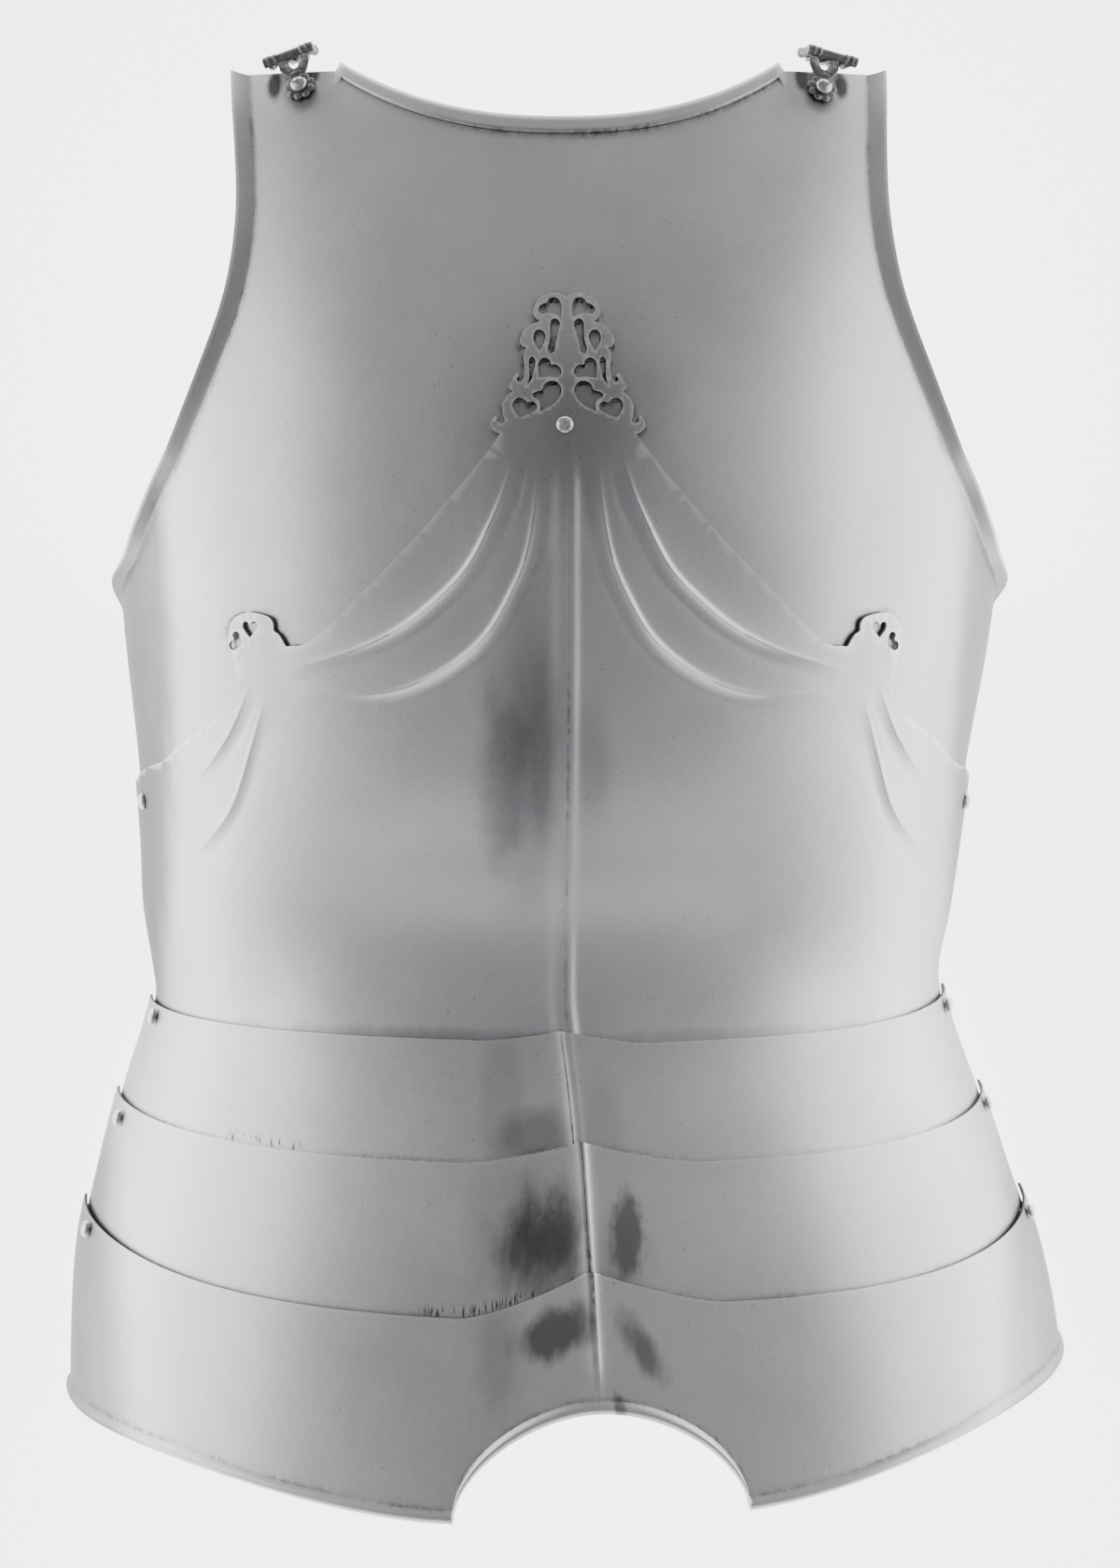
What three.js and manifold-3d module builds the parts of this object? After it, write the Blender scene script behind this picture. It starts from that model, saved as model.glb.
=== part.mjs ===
// Steel cuirass breastplate: a chest plate, a plackart with pierced finials, three fauld lames on side rivets,
// and two shoulder buckles. Millimetres. It lies on its back: +X runs across the chest, +Y towards the neck and
// +Z out of the chest. Heights are measured along Y from the lowest point of the fauld.
import * as THREE from 'three';
import { mergeVertices } from 'three/addons/utils/BufferGeometryUtils.js';
import loadManifold from 'manifold-3d';

const wasm = await loadManifold();
wasm.setup();

// ---------------------------------------------------------------- driving sizes
const MIDDLE = { x: 5, height: 301.8 }; // middle of the whole, seen from the front
const WALL = 1.4; // sheet thickness
const FIT = 0.9; // space between two riveted sheets
const LAME_FIT = 1.2; // space between two sheets that slide on each other
const SWELL = 0.1; // how much fuller than an ellipse a section is
const KEEL = { half: 3.2, foot: 4.8, rise: 1.1, fadeFrom: 410, fadeTo: 432 }; // raised band down the ridge

const CHEST_BOTTOM = 232; // hidden lower edge of the chest plate
const PLACKART_BOTTOM = 174; // hidden lower edge of the plackart
const LAME_SLOPE = 0.015; // the fauld's rivets sit a little lower on the left

// Inner faces of the nested sheets, measured out from the torso surface.
const CHEST_LIFT = 0;
const PLACKART_LIFT = CHEST_LIFT + WALL + FIT;
const LAME_LIFTS = [1, 2, 3].map((n) => PLACKART_LIFT + n * (WALL + LAME_FIT));

// Torso sections: height, half width, sideways place of the middle and of the ridge, depth to the ridge, and how
// far the ridge stands above a round front.
const TORSO = table(['height', 'half', 'middle', 'ridge', 'depth', 'peak'], [
  [0, 207, 5, 13, 170, 7],
  [40, 207, 5, 11.8, 168, 7],
  [80, 202.3, 2.5, 9.6, 163, 8],
  [110, 194.2, 0.5, 8, 157, 8],
  [150, 182.6, -1, 5.6, 145, 8],
  [175, 174.2, -1.5, 3.2, 137, 8],
  [190, 170.5, -1.8, 1.4, 134, 8],
  [205, 171, -3, 0, 133, 8],
  [230, 175.5, -2.5, 0, 137, 8],
  [260, 178.3, -1, 0, 147, 8],
  [300, 182.6, 0, 0, 160, 7],
  [340, 188.5, 1.4, 0, 168.5, 6],
  [375, 192.6, 2.2, 0, 171.5, 5],
  [400, 194.5, 1.8, 0, 171, 4],
  [440, 195, 1.6, 0, 165, 2],
  [480, 193, 1.6, 0, 154, 1],
  [520, 189, 1.2, 0, 138, 0],
  [570, 184, 0, 0, 112, 0],
  [600, 180, 0, 0, 93, 0],
]);

// Where the side edge of the chest plate lies on the section, in degrees from the ridge.
const ARMHOLE = table(['height', 'angle'], [
  [232, 90],
  [346, 90],
  [357, 88],
  [366, 84.5],
  [374, 77.5],
  [383, 69],
  [399, 62],
  [415, 56.8],
  [430, 52.4],
  [461, 46.7],
  [492, 42.8],
  [523, 41.9],
  [552, 43],
  [589, 45.7],
]);
const FLANGE = { width: 6.5, steps: [[3.4, 1.7], [0, 5.2]], from: 358, full: 377 };
const NECK = { low: 566.5, rise: 26, half: 93, power: 2.3, band: 7.2, lift: 1.3 };
const SHOULDER = 588.5;

// Right half of the plackart's top edge, from the centre finial to the flank.
const TOP_EDGE = {
  inner: [[24.5, 434.8], [30, 430], [40, 417.5], [58, 397], [72, 382.5], [85, 369.5], [97, 357.5], [105, 351.3]],
  outer: [[134.8, 333.6], [136.5, 326], [147.5, 316], [158.5, 308], [167, 299], [177.5, 293], [182, 286.5],
    [196, 284]],
};

// Right half of the centre finial, from the notch at its top down to its foot.
const FINIAL = [
  ['start', 0, 490.5],
  ['arc', -5.6, 486.2, 5.9, 96, 178],
  ['arc', -8.4, 485.6, 5.0, 118, 238],
  ['line', -9.6, 480],
  ['line', -14, 478.7],
  ['line', -17.2, 474.8],
  ['arc', -17.1, 471.6, 1.6, 150, 300],
  ['line', -16.6, 468.2],
  ['line', -16.2, 460],
  ['arc', -17.7, 457.0, 1.7, 20, -160],
  ['line', -20.6, 457],
  ['line', -21.6, 454.4],
  ['line', -20.4, 452],
  ['line', -23.4, 449.8],
  ['line', -24.4, 446],
  ['line', -23.4, 441.5],
  ['arc', -25.3, 440.2, 1.9, 20, -170],
  ['line', -28.4, 440.2],
  ['line', -28.8, 437.2],
  ['line', -27.2, 435.2],
];

const HEART_POINTS = 10;
// Pierced hearts: middle, width, height and turn in degrees from upright.
const FINIAL_HEARTS = [
  { x: -6.4, h: 486.3, width: 8.6, height: 8.2, turn: -38 },
  { x: -6.3, h: 460.6, width: 8.4, height: 8.4, turn: 32 },
  { x: -6.6, h: 449.6, width: 10.2, height: 12, turn: -40 },
  { x: -15.4, h: 445.2, width: 9.4, height: 8.2, turn: 18 },
];
// Pierced drops: round end, pointed end, and the radius of each end.
const FINIAL_DROPS = [
  { from: [-4.3, 479.4], to: [-5.6, 467.6], wide: 2.1, narrow: 1.3 },
  { from: [-10.4, 473.4], to: [-10.6, 467.4], wide: 2.6, narrow: 0.5 },
  { from: [-13.2, 464.6], to: [-14.6, 454.4], wide: 1.4, narrow: 0.5 },
];

// Right side finial, from the plackart's top edge to the outer run.
const SIDE_FINIAL = [[115, 349.9], [117.3, 353.7], [119.5, 355.2], [121.4, 355.7], [121.6, 359.8], [124.2, 361.4],
  [128.8, 362.5], [132.2, 362.5], [136, 360.2], [139, 355], [139, 347], [136.8, 342.4], [136.4, 338.6]];
const SIDE_HEART = { x: 128.8, h: 356.2, width: 6.4, height: 6.8, turn: 0 };
const SIDE_DROPS = [
  { from: [134.2, 352.4], to: [132, 348.8], wide: 1.8, narrow: 1.2 },
  { from: [135.4, 348.6], to: [131.6, 349.6], wide: 1.7, narrow: 0.8 },
];

// Crests of the flutes on the right half of the plackart.
const FLUTES = [
  [[22, 425], [26, 411], [32.5, 396], [41, 381], [53, 368.5], [67, 357.5], [83, 349.5], [98, 344.5], [112, 340.5]],
  [[12, 422], [13.5, 405], [17, 386], [23.5, 370.5], [32, 356], [43, 345.5], [56, 337.5], [69, 332.5],
    [83, 330.5], [98, 331], [108, 332]],
  [[129, 333], [137.5, 313], [150, 295], [162.5, 282]],
  [[122.5, 328], [128, 309], [136, 284], [146, 268.5], [156.5, 257], [166, 253],
    [175, 255], [179.5, 260]],
];
const FLUTE = { foot: 3.6, rise: 1.9, root: 0.75, step: 13 };

// Top edges of the lames: the peak at the ridge, then the front and the end to the left and the right of it.
const LAMES = [
  { name: 'fauld_lame_upper', peak: 191.3, front: [187, 186], end: [188.5, 193.5], spread: 16, bottom: 127 },
  { name: 'fauld_lame_middle', peak: 146.5, front: [138, 138.3], end: [146.5, 148.8], spread: 23, bottom: 68 },
  { name: 'fauld_lame_lower', peak: 98.2, front: [79.3, 85.5], end: [98.5, 102], spread: 25, bottom: 0 },
];
const HEM = { tip: 2.4, end: 26.3, slope: 0.048, arch: 44, half: 57, power: 1.75, bead: 3.4, rise: 2.6 };

// Rivets: place as degrees from the ridge and height, the lift of the stack's two faces, the gap under the head.
const RIVET = { shank: 1.7, hole: 2.1, head: 3.6, dome: 2.3, tail: 2.8, tailRise: 0.9, seat: 0.6, loose: 1.1 };
const RIVET_ANGLE = 74;
const RIVETS = {
  centre: { angle: -0.35, height: 437.5 },
  plackart: { angle: RIVET_ANGLE, height: 278.5 },
  lames: [185, 141.2, 94],
};
const FLANK_HOLE = { angle: 80, height: 352, radius: 1.7 };

// Shoulder buckles: the rivet's place on the torso and the turn of the plate about it.
const BUCKLES = [
  { side: 'left', x: -109, height: 581.2, turn: 19 },
  { side: 'right', x: 110, height: 580.2, turn: -14 },
];
const BUCKLE = {
  reach: 18.3, rosette: 5.8, lobe: 1.5, lobes: 5, neck: 3.4, armOut: 6.6, armIn: 2.7, sheet: 1.6,
  knuckle: 3.3, knuckleHole: 2.2,
  bar: 1.8, width: 22.4, length: 16, rail: 3.4, knob: 2.5,
  tongue: 1.9, tongueLoop: 3.2, point: 15.6,
};

// ---------------------------------------------------------------- tables and surface
function table(names, rows) {
  return { names, rows };
}

// Smooth value of a named column at a height.
function read({ names, rows }, name, height) {
  const column = names.indexOf(name);
  const last = rows.length - 1;
  const h = THREE.MathUtils.clamp(height, rows[0][0], rows[last][0]);
  const slope = (i) => {
    const below = rows[Math.max(i - 1, 0)];
    const above = rows[Math.min(i + 1, last)];
    return (above[column] - below[column]) / (above[0] - below[0]);
  };
  let i = 0;
  while (i < last - 1 && h > rows[i + 1][0]) i += 1;
  const span = rows[i + 1][0] - rows[i][0];
  const t = (h - rows[i][0]) / span;
  const [start, end] = [rows[i][column], rows[i + 1][column]];
  return start + (end - start) * t * t * (3 - 2 * t)
    + span * t * (1 - t) * (slope(i) * (1 - t) - slope(i + 1) * t);
}

// Rise of the raised band at a distance from the ridge.
function keelRise(distance) {
  const t = (KEEL.foot - Math.abs(distance)) / (KEEL.foot - KEEL.half);
  return KEEL.rise * THREE.MathUtils.clamp(t, 0, 1);
}

// Point of the torso surface: angle in radians from the ridge, positive towards +X.
function torsoPoint(angle, height) {
  const [half, middle, ridge, depth, peak] = ['half', 'middle', 'ridge', 'depth', 'peak']
    .map((name) => read(TORSO, name, height));
  const s = Math.sin(angle);
  const c = Math.cos(angle);
  return new THREE.Vector3(
    middle + half * s * (1 + SWELL * c * c) + (ridge - middle) * c * c,
    height,
    (depth - peak) * c * (1 + SWELL * s * s) + peak * (1 - Math.abs(s)) ** 2,
  );
}

function torsoNormal(angle, height) {
  const across = torsoPoint(angle + 0.001, height).sub(torsoPoint(angle - 0.001, height));
  const along = torsoPoint(angle, height + 0.1).sub(torsoPoint(angle, height - 0.1));
  return across.cross(along).normalize();
}

function lifted(angle, height, lift) {
  return torsoPoint(angle, height).addScaledVector(torsoNormal(angle, height), lift);
}

// Angle at which the lifted surface stands at a sideways place.
function angleAt(x, height, lift) {
  let low = -Math.PI / 2;
  let high = Math.PI / 2;
  for (let i = 0; i < 40; i += 1) {
    const middle = (low + high) / 2;
    if (lifted(middle, height, lift).x < x) low = middle;
    else high = middle;
  }
  return (low + high) / 2;
}

// Arc length for each radian of angle, near an angle.
function arcRate(angle, height) {
  return torsoPoint(angle, height).distanceTo(torsoPoint(angle - 0.01, height)) / 0.01;
}

const degrees = THREE.MathUtils.degToRad;
const mirrored = (points) => points.map(([x, h]) => [-x, h]);

// ---------------------------------------------------------------- solids
function toSolid(geometry) {
  const bare = geometry.clone();
  bare.deleteAttribute('normal');
  bare.deleteAttribute('uv');
  const merged = mergeVertices(bare, 1e-4);
  const vertProperties = Float32Array.from(merged.attributes.position.array);
  const triVerts = Uint32Array.from(merged.index.array);
  return new wasm.Manifold(new wasm.Mesh({ numProp: 3, vertProperties, triVerts }));
}

function toGeometry(solid) {
  const { vertProperties, triVerts } = solid.getMesh();
  const geometry = new THREE.BufferGeometry();
  geometry.setAttribute('position', new THREE.BufferAttribute(Float32Array.from(vertProperties), 3));
  geometry.setIndex(new THREE.BufferAttribute(Uint32Array.from(triVerts), 1));
  return geometry;
}

function joined(solids) {
  return solids.reduce((all, solid) => all.add(solid));
}

// Closed wall of sheet: place(i, j, side) gives a point of the inner face (side 0) or the outer face (side 1).
function sheet(columns, rows, place) {
  const positions = [];
  const index = [];
  const at = (i, j, side) => (side * rows + j) * columns + i;
  for (let side = 0; side < 2; side += 1) {
    for (let j = 0; j < rows; j += 1) {
      for (let i = 0; i < columns; i += 1) positions.push(...place(i, j, side).toArray());
    }
  }
  const quad = (a, b, c, d) => index.push(a, b, c, a, c, d);
  for (let j = 0; j < rows - 1; j += 1) {
    for (let i = 0; i < columns - 1; i += 1) {
      const outer = [at(i, j, 1), at(i + 1, j, 1), at(i + 1, j + 1, 1), at(i, j + 1, 1)];
      const inner = [at(i, j, 0), at(i, j + 1, 0), at(i + 1, j + 1, 0), at(i + 1, j, 0)];
      [outer, inner].forEach(([a, b, c, d]) => (i < columns / 2 - 1 ? quad(b, c, d, a) : quad(a, b, c, d)));
    }
  }
  const rim = [];
  for (let i = 0; i < columns - 1; i += 1) rim.push([i, 0]);
  for (let j = 0; j < rows - 1; j += 1) rim.push([columns - 1, j]);
  for (let i = columns - 1; i > 0; i -= 1) rim.push([i, rows - 1]);
  for (let j = rows - 1; j > 0; j -= 1) rim.push([0, j]);
  rim.forEach(([i, j], k) => {
    const [m, n] = rim[(k + 1) % rim.length];
    quad(at(m, n, 1), at(i, j, 1), at(i, j, 0), at(m, n, 0));
  });
  const geometry = new THREE.BufferGeometry();
  geometry.setAttribute('position', new THREE.Float32BufferAttribute(positions, 3));
  geometry.setIndex(index);
  return toSolid(geometry);
}

// Upright cutter through the whole depth of the body, from an outline seen from the front.
function prism(shape, divisions = 6) {
  const geometry = new THREE.ExtrudeGeometry(shape, { depth: 300, bevelEnabled: false, curveSegments: divisions });
  return toSolid(geometry.translate(0, 0, -20));
}

function outline(points) {
  return new THREE.Shape(points.map(([x, y]) => new THREE.Vector2(x, y)));
}

// ---------------------------------------------------------------- chest plate
function neckEdge(x) {
  const share = Math.abs(x) / NECK.half;
  return share < 1 ? NECK.low + NECK.rise * share ** NECK.power : SHOULDER;
}

function edgeAngle(height) {
  return degrees(Math.min(read(ARMHOLE, 'angle', height), 90));
}

function chestColumns() {
  const shares = [0, 0.068, 0.137, 0.211, 0.285, 0.364, 0.444, 0.524, 0.604, 0.664, 0.683, 0.769, 0.854, 0.94, 1];
  const right = [
    ...shares.map((share) => ({ side: 1, share, fromEdge: FLANGE.width, lift: 0 })),
    ...FLANGE.steps.map(([fromEdge, lift]) => ({ side: 1, share: 1, fromEdge, lift })),
  ];
  const left = right.slice(1).reverse().map((column) => ({ ...column, side: -1 }));
  return [...left, ...right];
}

function chestPlate() {
  const columns = chestColumns();
  const heights = [CHEST_BOTTOM, 260, 290, 322, 350, 363, 372, 383, 402, 424, 456, 490, 522, 552, 580.5];
  const below = [NECK.band, 0];
  const angleOf = (column, sideHeight) => {
    const edge = edgeAngle(sideHeight);
    return column.side * column.share * (edge - column.fromEdge / arcRate(edge, sideHeight));
  };
  const tops = columns.map((column) => neckEdge(torsoPoint(angleOf(column, SHOULDER), SHOULDER).x));
  const solid = sheet(columns.length, heights.length + below.length, (i, j, side) => {
    const column = columns[i];
    const inBand = j >= heights.length;
    const drop = inBand ? below[j - heights.length] : NECK.band + 0.8;
    const sideHeight = inBand ? SHOULDER - drop : heights[j];
    const share = (sideHeight - CHEST_BOTTOM) / (SHOULDER - NECK.band - 0.8 - CHEST_BOTTOM);
    const height = inBand ? tops[i] - drop : CHEST_BOTTOM + share * (tops[i] - drop - CHEST_BOTTOM);
    const turnOut = THREE.MathUtils.smoothstep(sideHeight, FLANGE.from, FLANGE.full) * column.lift;
    const band = side === 1 && inBand && tops[i] !== SHOULDER ? NECK.lift : 0;
    return lifted(angleOf(column, sideHeight), height, CHEST_LIFT + side * WALL + turnOut + band);
  });
  const sides = [-1, 1];
  const holes = [
    rivetHole(placeAt(RIVETS.centre)),
    ...sides.map((side) => rivetHole(placeAt(RIVETS.plackart, side))),
    ...sides.map((side) => rivetHole(placeAt(FLANK_HOLE, side), FLANK_HOLE.radius)),
    ...BUCKLES.map((buckle) => rivetHole(buckleFrame(buckle))),
  ];
  return solid.subtract(joined(holes));
}

// ---------------------------------------------------------------- plackart
function sheetAngles() {
  const right = [0, 0.9, 1.4, 6, 12, 18.5, 25, 32, 39, 46, 53, 60, 67.5, 75, 81, 86, 90];
  return [...right.slice(1).reverse().map((angle) => -angle), ...right].map(degrees);
}

function heartShape({ x, h, width, height, turn }) {
  const w = width / 2;
  const points = [];
  for (let i = 0; i < HEART_POINTS; i += 1) {
    const t = (i / HEART_POINTS) * Math.PI * 2;
    const across = w * Math.sin(t) ** 3;
    const up = (height / 29) * (13 * Math.cos(t) - 5 * Math.cos(2 * t) - 2 * Math.cos(3 * t) - Math.cos(4 * t) + 2.5);
    points.push(new THREE.Vector2(across, up).rotateAround(new THREE.Vector2(), degrees(turn)));
  }
  return outline(points.reverse().map((p) => [x + p.x, h + p.y]));
}

// Two round ends joined by straight sides.
function dropShape({ from, to, wide, narrow }) {
  const axis = Math.atan2(to[1] - from[1], to[0] - from[0]);
  const lean = Math.acos((wide - narrow) / Math.hypot(to[0] - from[0], to[1] - from[1]));
  const shape = new THREE.Shape();
  shape.absarc(from[0], from[1], wide, axis + lean, axis - lean + Math.PI * 2, false);
  shape.absarc(to[0], to[1], narrow, axis - lean, axis + lean, false);
  return shape;
}

function mirrorPiece(piece) {
  if (piece.from) {
    const [from, to] = mirrored([piece.from, piece.to]);
    return { ...piece, from, to };
  }
  return { ...piece, x: -piece.x, turn: -piece.turn };
}

function bothSides(pieces) {
  return [...pieces, ...pieces.map(mirrorPiece)];
}

// Points of the centre finial's left half, from its foot up to the notch.
function finialPoints() {
  const points = [];
  FINIAL.forEach(([kind, x, h, radius, from, to]) => {
    if (kind !== 'arc') {
      points.push([x, h]);
      return;
    }
    for (let i = 0; i <= 4; i += 1) {
      const angle = degrees(from + ((to - from) * i) / 4);
      points.push([x + radius * Math.cos(angle), h + radius * Math.sin(angle)]);
    }
  });
  return points;
}

function plackartOutline() {
  const left = finialPoints();
  const right = mirrored(left).slice(1);
  const edge = [...right, ...TOP_EDGE.inner.slice(1), ...SIDE_FINIAL, ...TOP_EDGE.outer];
  const all = [...edge, [230, 284], [230, 0], [-230, 0], [-230, 284],
    ...mirrored([...TOP_EDGE.inner.slice(1), ...SIDE_FINIAL, ...TOP_EDGE.outer]).reverse(),
    ...left.slice(1).reverse(), left[0]];
  return outline(all.reverse());
}

// Raised rib that follows a crest line on the outer face of the plackart.
function flute(crest) {
  const outer = PLACKART_LIFT + WALL;
  const onFace = ([x, h]) => lifted(angleAt(x, h, outer), h, outer);
  const curve = new THREE.CatmullRomCurve3(crest.map(onFace));
  const steps = Math.round(curve.getLength() / FLUTE.step);
  const positions = [];
  for (let i = 0; i <= steps; i += 1) {
    const t = i / steps;
    const crown = curve.getPointAt(t);
    const out = torsoNormal(angleAt(crown.x, crown.y, outer), crown.y);
    const across = curve.getTangentAt(t).cross(out).normalize();
    const size = 0.35 + 0.65 * Math.sin(Math.PI * t) ** 0.5;
    [[FLUTE.foot * size, -FLUTE.root], [-FLUTE.foot * size, -FLUTE.root], [0, FLUTE.rise * size]]
      .forEach(([aside, up]) => {
        const point = crown.clone().addScaledVector(across, aside).addScaledVector(out, up);
        positions.push(...point.toArray());
      });
  }
  return toSolid(stationSkin(positions, steps + 1, 3));
}

// Closed skin through equal rings of points, with flat ends.
function stationSkin(positions, stations, ring) {
  const index = [];
  for (let i = 0; i < stations - 1; i += 1) {
    for (let k = 0; k < ring; k += 1) {
      const a = i * ring + k;
      const b = i * ring + ((k + 1) % ring);
      index.push(a, b, b + ring, a, b + ring, a + ring);
    }
  }
  const last = (stations - 1) * ring;
  for (let k = 1; k < ring - 1; k += 1) {
    index.push(0, k + 1, k);
    index.push(last, last + k, last + k + 1);
  }
  const geometry = new THREE.BufferGeometry();
  geometry.setAttribute('position', new THREE.Float32BufferAttribute(positions, 3));
  geometry.setIndex(index);
  return geometry;
}

function plackart() {
  const angles = sheetAngles();
  const heights = [PLACKART_BOTTOM, 190, 205, 222, 244, 268, 294, 320, 346, 372, 398, 424, 440, 467, 496];
  const wall = sheet(angles.length, heights.length, (i, j, side) => {
    const height = heights[j];
    const fade = 1 - THREE.MathUtils.smoothstep(height, KEEL.fadeFrom, KEEL.fadeTo);
    const distance = angles[i] * arcRate(0, height);
    return lifted(angles[i], height, PLACKART_LIFT + side * WALL + keelRise(distance) * fade);
  });
  const pierced = [
    ...bothSides([...FINIAL_HEARTS, SIDE_HEART]).map(heartShape),
    ...bothSides([...FINIAL_DROPS, ...SIDE_DROPS]).map(dropShape),
  ];
  const ribs = FLUTES.flatMap((crest) => [flute(crest), flute(mirrored(crest))]);
  const holes = [
    rivetHole(placeAt(RIVETS.centre)),
    ...[-1, 1].map((side) => rivetHole(placeAt(RIVETS.plackart, side))),
    ...[-1, 1].map((side) => rivetHole(lameRivetPlace(0, side))),
  ];
  return wall
    .intersect(prism(plackartOutline()))
    .subtract(joined(pierced.map((shape) => prism(shape, 2))))
    .add(joined(ribs))
    .subtract(joined(holes));
}

// ---------------------------------------------------------------- fauld
// A lame's top edge: a small ogee peak at the ridge, level across the front, rising to the ends.
function lameTop({ peak, front, end, spread }, angle) {
  const side = angle < 0 ? 0 : 1;
  const fromRidge = Math.abs(torsoPoint(angle, peak).x - read(TORSO, 'ridge', peak));
  const ogee = 0.5 + 0.5 * Math.cos(Math.PI * Math.min(fromRidge / (2 * spread), 1));
  const sideShare = Math.abs(Math.sin(angle)) ** 3.5;
  return front[side] + (peak - front[side]) * ogee + (end[side] - front[side]) * sideShare;
}

// The hem: level with the tips at the front, higher at the ends, with an arch over the legs' fork.
function hemEdge(angle) {
  const place = torsoPoint(angle, 20);
  const share = Math.abs(place.x - read(TORSO, 'ridge', 20)) / HEM.half;
  const aside = THREE.MathUtils.smoothstep(Math.abs(Math.sin(angle)), 0.22, 0.95);
  const tip = HEM.tip + HEM.slope * place.x;
  if (share >= 1) return tip + (HEM.end - HEM.tip) * aside;
  return tip + (HEM.arch - HEM.tip) * (1 - share ** HEM.power) ** (1 / HEM.power);
}

// Angles of a lame's sections; the last lame has more of them round the arch.
function lameAngles(last) {
  const front = last ? [5, 9, 12.5, 14.8, 16.4] : [5, 10.5, 17];
  const right = [0, 1.2, ...front, 24, 31, 38, 45, 52, 59, 65.5, 71.5, 76.5, 82, 88];
  return [...right.slice(1).reverse().map((angle) => -angle), ...right].map(degrees);
}

function lameRivetPlace(n, side) {
  const height = RIVETS.lames[n];
  const level = height + LAME_SLOPE * side * read(TORSO, 'half', height);
  return placeAt({ angle: RIVET_ANGLE, height: level }, side);
}

function lame(n) {
  const size = LAMES[n];
  const last = n === LAMES.length - 1;
  const angles = lameAngles(last);
  const lift = LAME_LIFTS[n];
  const beadRows = last ? [[0, 0.6], [1.4, 1], [HEM.bead, 0]] : [[0, 0]];
  const shares = [0.3, 0.66, 1];
  const solid = sheet(angles.length, beadRows.length + shares.length, (i, j, side) => {
    const angle = angles[i];
    const top = lameTop(size, angle);
    const bottom = last ? hemEdge(angle) : size.bottom;
    const inBead = j < beadRows.length;
    const [up, swell] = inBead ? beadRows[j] : [0, 0];
    const start = bottom + (last ? HEM.bead : 0);
    const height = inBead ? bottom + up : start + (top - start) * shares[j - beadRows.length];
    const distance = angle * arcRate(0, height);
    return lifted(angle, height, lift + side * (WALL + swell * HEM.rise) + keelRise(distance));
  });
  const holes = [-1, 1].map((side) => rivetHole(lameRivetPlace(n, side)));
  if (!last) holes.push(...[-1, 1].map((side) => rivetHole(lameRivetPlace(n + 1, side))));
  return solid.subtract(joined(holes));
}

// ---------------------------------------------------------------- rivets
// A place on the torso surface with its outward direction as the local Z axis.
function placeAt({ angle, height }, side = 1) {
  const turn = degrees(angle) * side;
  const frame = new THREE.Object3D();
  frame.position.copy(torsoPoint(turn, height));
  frame.quaternion.setFromUnitVectors(new THREE.Vector3(0, 0, 1), torsoNormal(turn, height));
  frame.updateMatrix();
  return frame;
}

function rivetHole(frame, radius = RIVET.hole) {
  const cutter = new THREE.CylinderGeometry(radius, radius, 40, 8).rotateX(Math.PI / 2);
  return toSolid(cutter.applyMatrix4(frame.matrix));
}

// Dome head above the stack, shank through it and a hammered tail below; local Z is out of the plate.
function rivetGeometry(bottom, top, gap) {
  const tail = bottom - RIVET.seat;
  const seat = top + gap;
  const profile = [
    [0, tail - RIVET.tailRise], [RIVET.tail, tail],
    [RIVET.shank, tail], [RIVET.shank, seat], [RIVET.head, seat], [RIVET.head * 0.7, seat + RIVET.dome * 0.75],
    [0, seat + RIVET.dome],
  ].map(([r, z]) => new THREE.Vector2(r, z));
  return new THREE.LatheGeometry(profile, 8).rotateX(Math.PI / 2);
}

// ---------------------------------------------------------------- shoulder buckles
// The buckle's own frame: the rivet's place, Y towards the bar and Z out of the plate.
function buckleFrame({ x, height, turn }) {
  const angle = angleAt(x, height, CHEST_LIFT + WALL);
  const normal = torsoNormal(angle, height);
  const up = new THREE.Vector3(-Math.sin(degrees(turn)), Math.cos(degrees(turn)), 0);
  up.addScaledVector(normal, -up.dot(normal)).normalize();
  const across = new THREE.Vector3().crossVectors(up, normal);
  const frame = new THREE.Group();
  frame.position.copy(torsoPoint(angle, height));
  frame.quaternion.setFromRotationMatrix(new THREE.Matrix4().makeBasis(across, up, normal));
  frame.updateMatrix();
  return frame;
}

function slab(shape, low, high) {
  const geometry = new THREE.ExtrudeGeometry(shape, { depth: high - low, bevelEnabled: false, curveSegments: 4 });
  return toSolid(geometry.translate(0, 0, low));
}

// Ring about the X axis, from one sideways place to another.
function ringAlongX(radius, hole, from, to) {
  const shape = new THREE.Shape().absarc(0, 0, radius, 0, Math.PI * 2, false);
  shape.holes.push(new THREE.Path().absarc(0, 0, hole, 0, Math.PI * 2, true));
  const geometry = new THREE.ExtrudeGeometry(shape, { depth: to - from, bevelEnabled: false, curveSegments: 5 });
  return toSolid(geometry.rotateY(Math.PI / 2).translate(from, 0, 0));
}

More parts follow.
